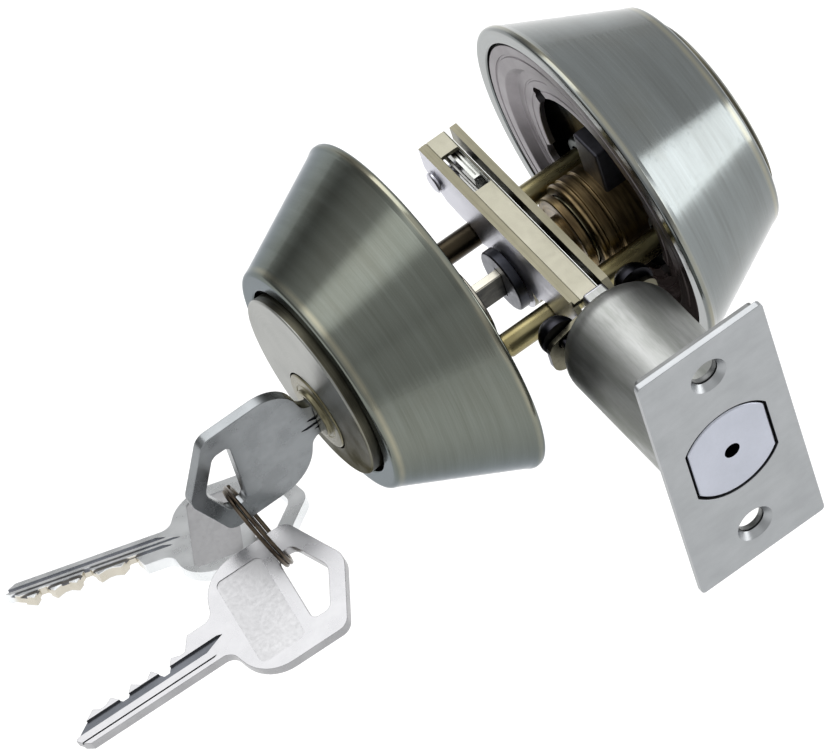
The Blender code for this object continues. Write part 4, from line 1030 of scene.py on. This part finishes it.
for which in ("exterior", "interior"):
    rose(which)
    cylinder_body(which)
    plug(which)
    tailpiece(which)
mounting_plate()
guard_ring()
latch_case()
latch_cover()
for node_name, (x, z) in CASE_RIVETS.items():
    case_rivet(node_name, x, z)
bolt_tail()
cam_hub()
barrel()
barrel_rivet("barrel_rivet_dome_exterior", "barrel_rivet_exterior", -RIVET_Y)
barrel_rivet("barrel_rivet_dome_interior", "barrel_rivet_interior", RIVET_Y)
dead_bolt()
face_plate()
backing_plate()
mounting_screw("screw_rolled_rear", "mounting_screw_rear", -SCREW_X, "screw_dark")
mounting_screw("screw_rolled_front", "mounting_screw_front", SCREW_X, "screw")
key("key_1", (1.0,))
key("key_2", (1.0, -1.0))
key("key_3", (1.0, -1.0), "groove_deep_shade")
key_ring()

# Looks of the CAD nodes that are kept; the names are parts of theirs
KEPT = {
    # The hardened pin takes the bore's painted shade
    "key_pin": "brass", "driver_pin": "steel", "spring": "spring", "bolt_hardened_pin": "bore",
}
for node_name, node in NODES.items():
    node.data.materials.clear()
    look_name = next((v for k, v in KEPT.items() if k in node_name), "steel")
    node.data.materials.append(LOOK[look_name])


# ---------------------------------------------------------------- floor, light and camera

def stage_floor():
    """Wide pale floor of fine plaster, with a faint glow of its own."""
    finish = Finish("pale floor", 0.0, 0.2)
    grain = finish.noise(finish.position, 14.0, 3.0)
    colour = finish.mix(grain, (0.86, 0.86, 0.86), (0.90, 0.90, 0.90))
    finish.shader.inputs["Emission Color"].default_value = (1.0, 1.0, 1.0, 1.0)
    finish.shader.inputs["Emission Strength"].default_value = 0.30
    material = finish.finish(colour, finish.remap(grain, 0.3, 0.7, 0.75, 0.85), grain, 0.02, 0.001)
    shape = bmesh.new()
    bmesh.ops.create_circle(shape, cap_ends=True, segments=96, radius=6000.0)
    floor = from_shape("floor", shape, at(0, 0, FLOOR_Z))
    floor.data.materials.append(material)


def heading(azimuth, elevation):
    """Direction away from the lock; azimuth 0 is before the exterior side and 90 is at +X."""
    a, e = radians(azimuth), radians(elevation)
    return Vector((sin(a) * cos(e), -cos(a) * cos(e), sin(e)))


def area_light(name, azimuth, elevation, distance, width, height, radiance):
    """Softbox facing the lock."""
    data = bpy.data.lights.new(name, "AREA")
    data.shape = "RECTANGLE"
    data.size = width
    data.size_y = height
    data.energy = radiance * pi * width * height
    lamp = link(bpy.data.objects.new(name, data))
    away = heading(azimuth, elevation)
    lamp.location = away * distance
    lamp.rotation_mode = "QUATERNION"
    lamp.rotation_quaternion = away.to_track_quat("Z", "Y")


def sky():
    """Studio surround, brighter overhead and behind, with a softbox, a glow and two screens."""
    world = bpy.data.worlds.new("studio")
    bpy.context.scene.world = world
    world.use_nodes = True
    tree = world.node_tree
    direction = tree.nodes.new("ShaderNodeTexCoord").outputs["Generated"]

    def ramp(toward, start, end, low, high):
        lean = tree.nodes.new("ShaderNodeVectorMath")
        lean.operation = "DOT_PRODUCT"
        lean.inputs[1].default_value = toward
        tree.links.new(direction, lean.inputs[0])
        rise = tree.nodes.new("ShaderNodeMapRange")
        rise.interpolation_type = "SMOOTHSTEP"
        for socket, value in zip(("From Min", "From Max", "To Min", "To Max"), (start, end, low, high)):
            rise.inputs[socket].default_value = value
        tree.links.new(lean.outputs["Value"], rise.inputs["Value"])
        return rise.outputs[0]

    def combine(operation, a, b):
        node = tree.nodes.new("ShaderNodeMath")
        node.operation = operation
        tree.links.new(a, node.inputs[0])
        tree.links.new(b, node.inputs[1])
        return node.outputs[0]

    overhead = ramp((0, 0, 1), 0.20, 0.74, 0.36, 0.96)
    horizon = ramp((0, 0, 1), 0.0, 0.26, 0.80, 0.36)
    softbox = ramp((-0.20, -0.55, 0.81), 0.925, 0.995, 0.0, 1.85)
    behind = ramp((-0.25, 0.97, 0), 0.10, 0.75, 0.0, 0.80)
    left_screen = ramp((-0.86, -0.36, 0.36), 0.66, 0.97, 1.0, 0.60)
    right_screen = ramp((0.44, -0.68, 0.58), 0.80, 0.96, 1.0, 0.66)
    right_glow = ramp((0.74, -0.62, 0.24), 0.78, 0.97, 0.0, 0.62)
    above = combine("MAXIMUM", overhead, horizon)
    screens = combine("MULTIPLY", left_screen, right_screen)
    level = combine("MULTIPLY", combine("MAXIMUM", above, behind), screens)
    level = combine("MAXIMUM", combine("MAXIMUM", level, right_glow), softbox)
    tree.links.new(level, tree.nodes["Background"].inputs["Strength"])
    tree.nodes["Background"].inputs["Color"].default_value = (1.0, 1.0, 1.0, 1.0)


def camera():
    """Long lens above the exterior side and the faceplate's end."""
    away = heading(CAMERA_AZIMUTH, CAMERA_ELEVATION)
    roll = Matrix.Rotation(radians(CAMERA_ROLL), 4, "Z")
    data = bpy.data.cameras.new("camera")
    data.sensor_width = 36.0
    data.lens = CAMERA_LENS
    data.clip_start = 0.05
    data.clip_end = 50.0
    seen = link(bpy.data.objects.new("camera", data))
    stand = at(*CAMERA_TARGET) @ Matrix.Translation(away * CAMERA_DISTANCE)
    seen.matrix_world = stand @ away.to_track_quat("Z", "Y").to_matrix().to_4x4() @ roll
    bpy.context.scene.camera = seen


stage_floor()
sky()
area_light("overhead left", -92, 56, 0.9, 0.70, 0.55, 1.9)
area_light("low behind", 155, 7, 1.0, 0.35, 0.44, 3.2)
camera()
bpy.context.scene.view_settings.view_transform = "Standard"
bpy.context.scene.view_settings.look = "None"
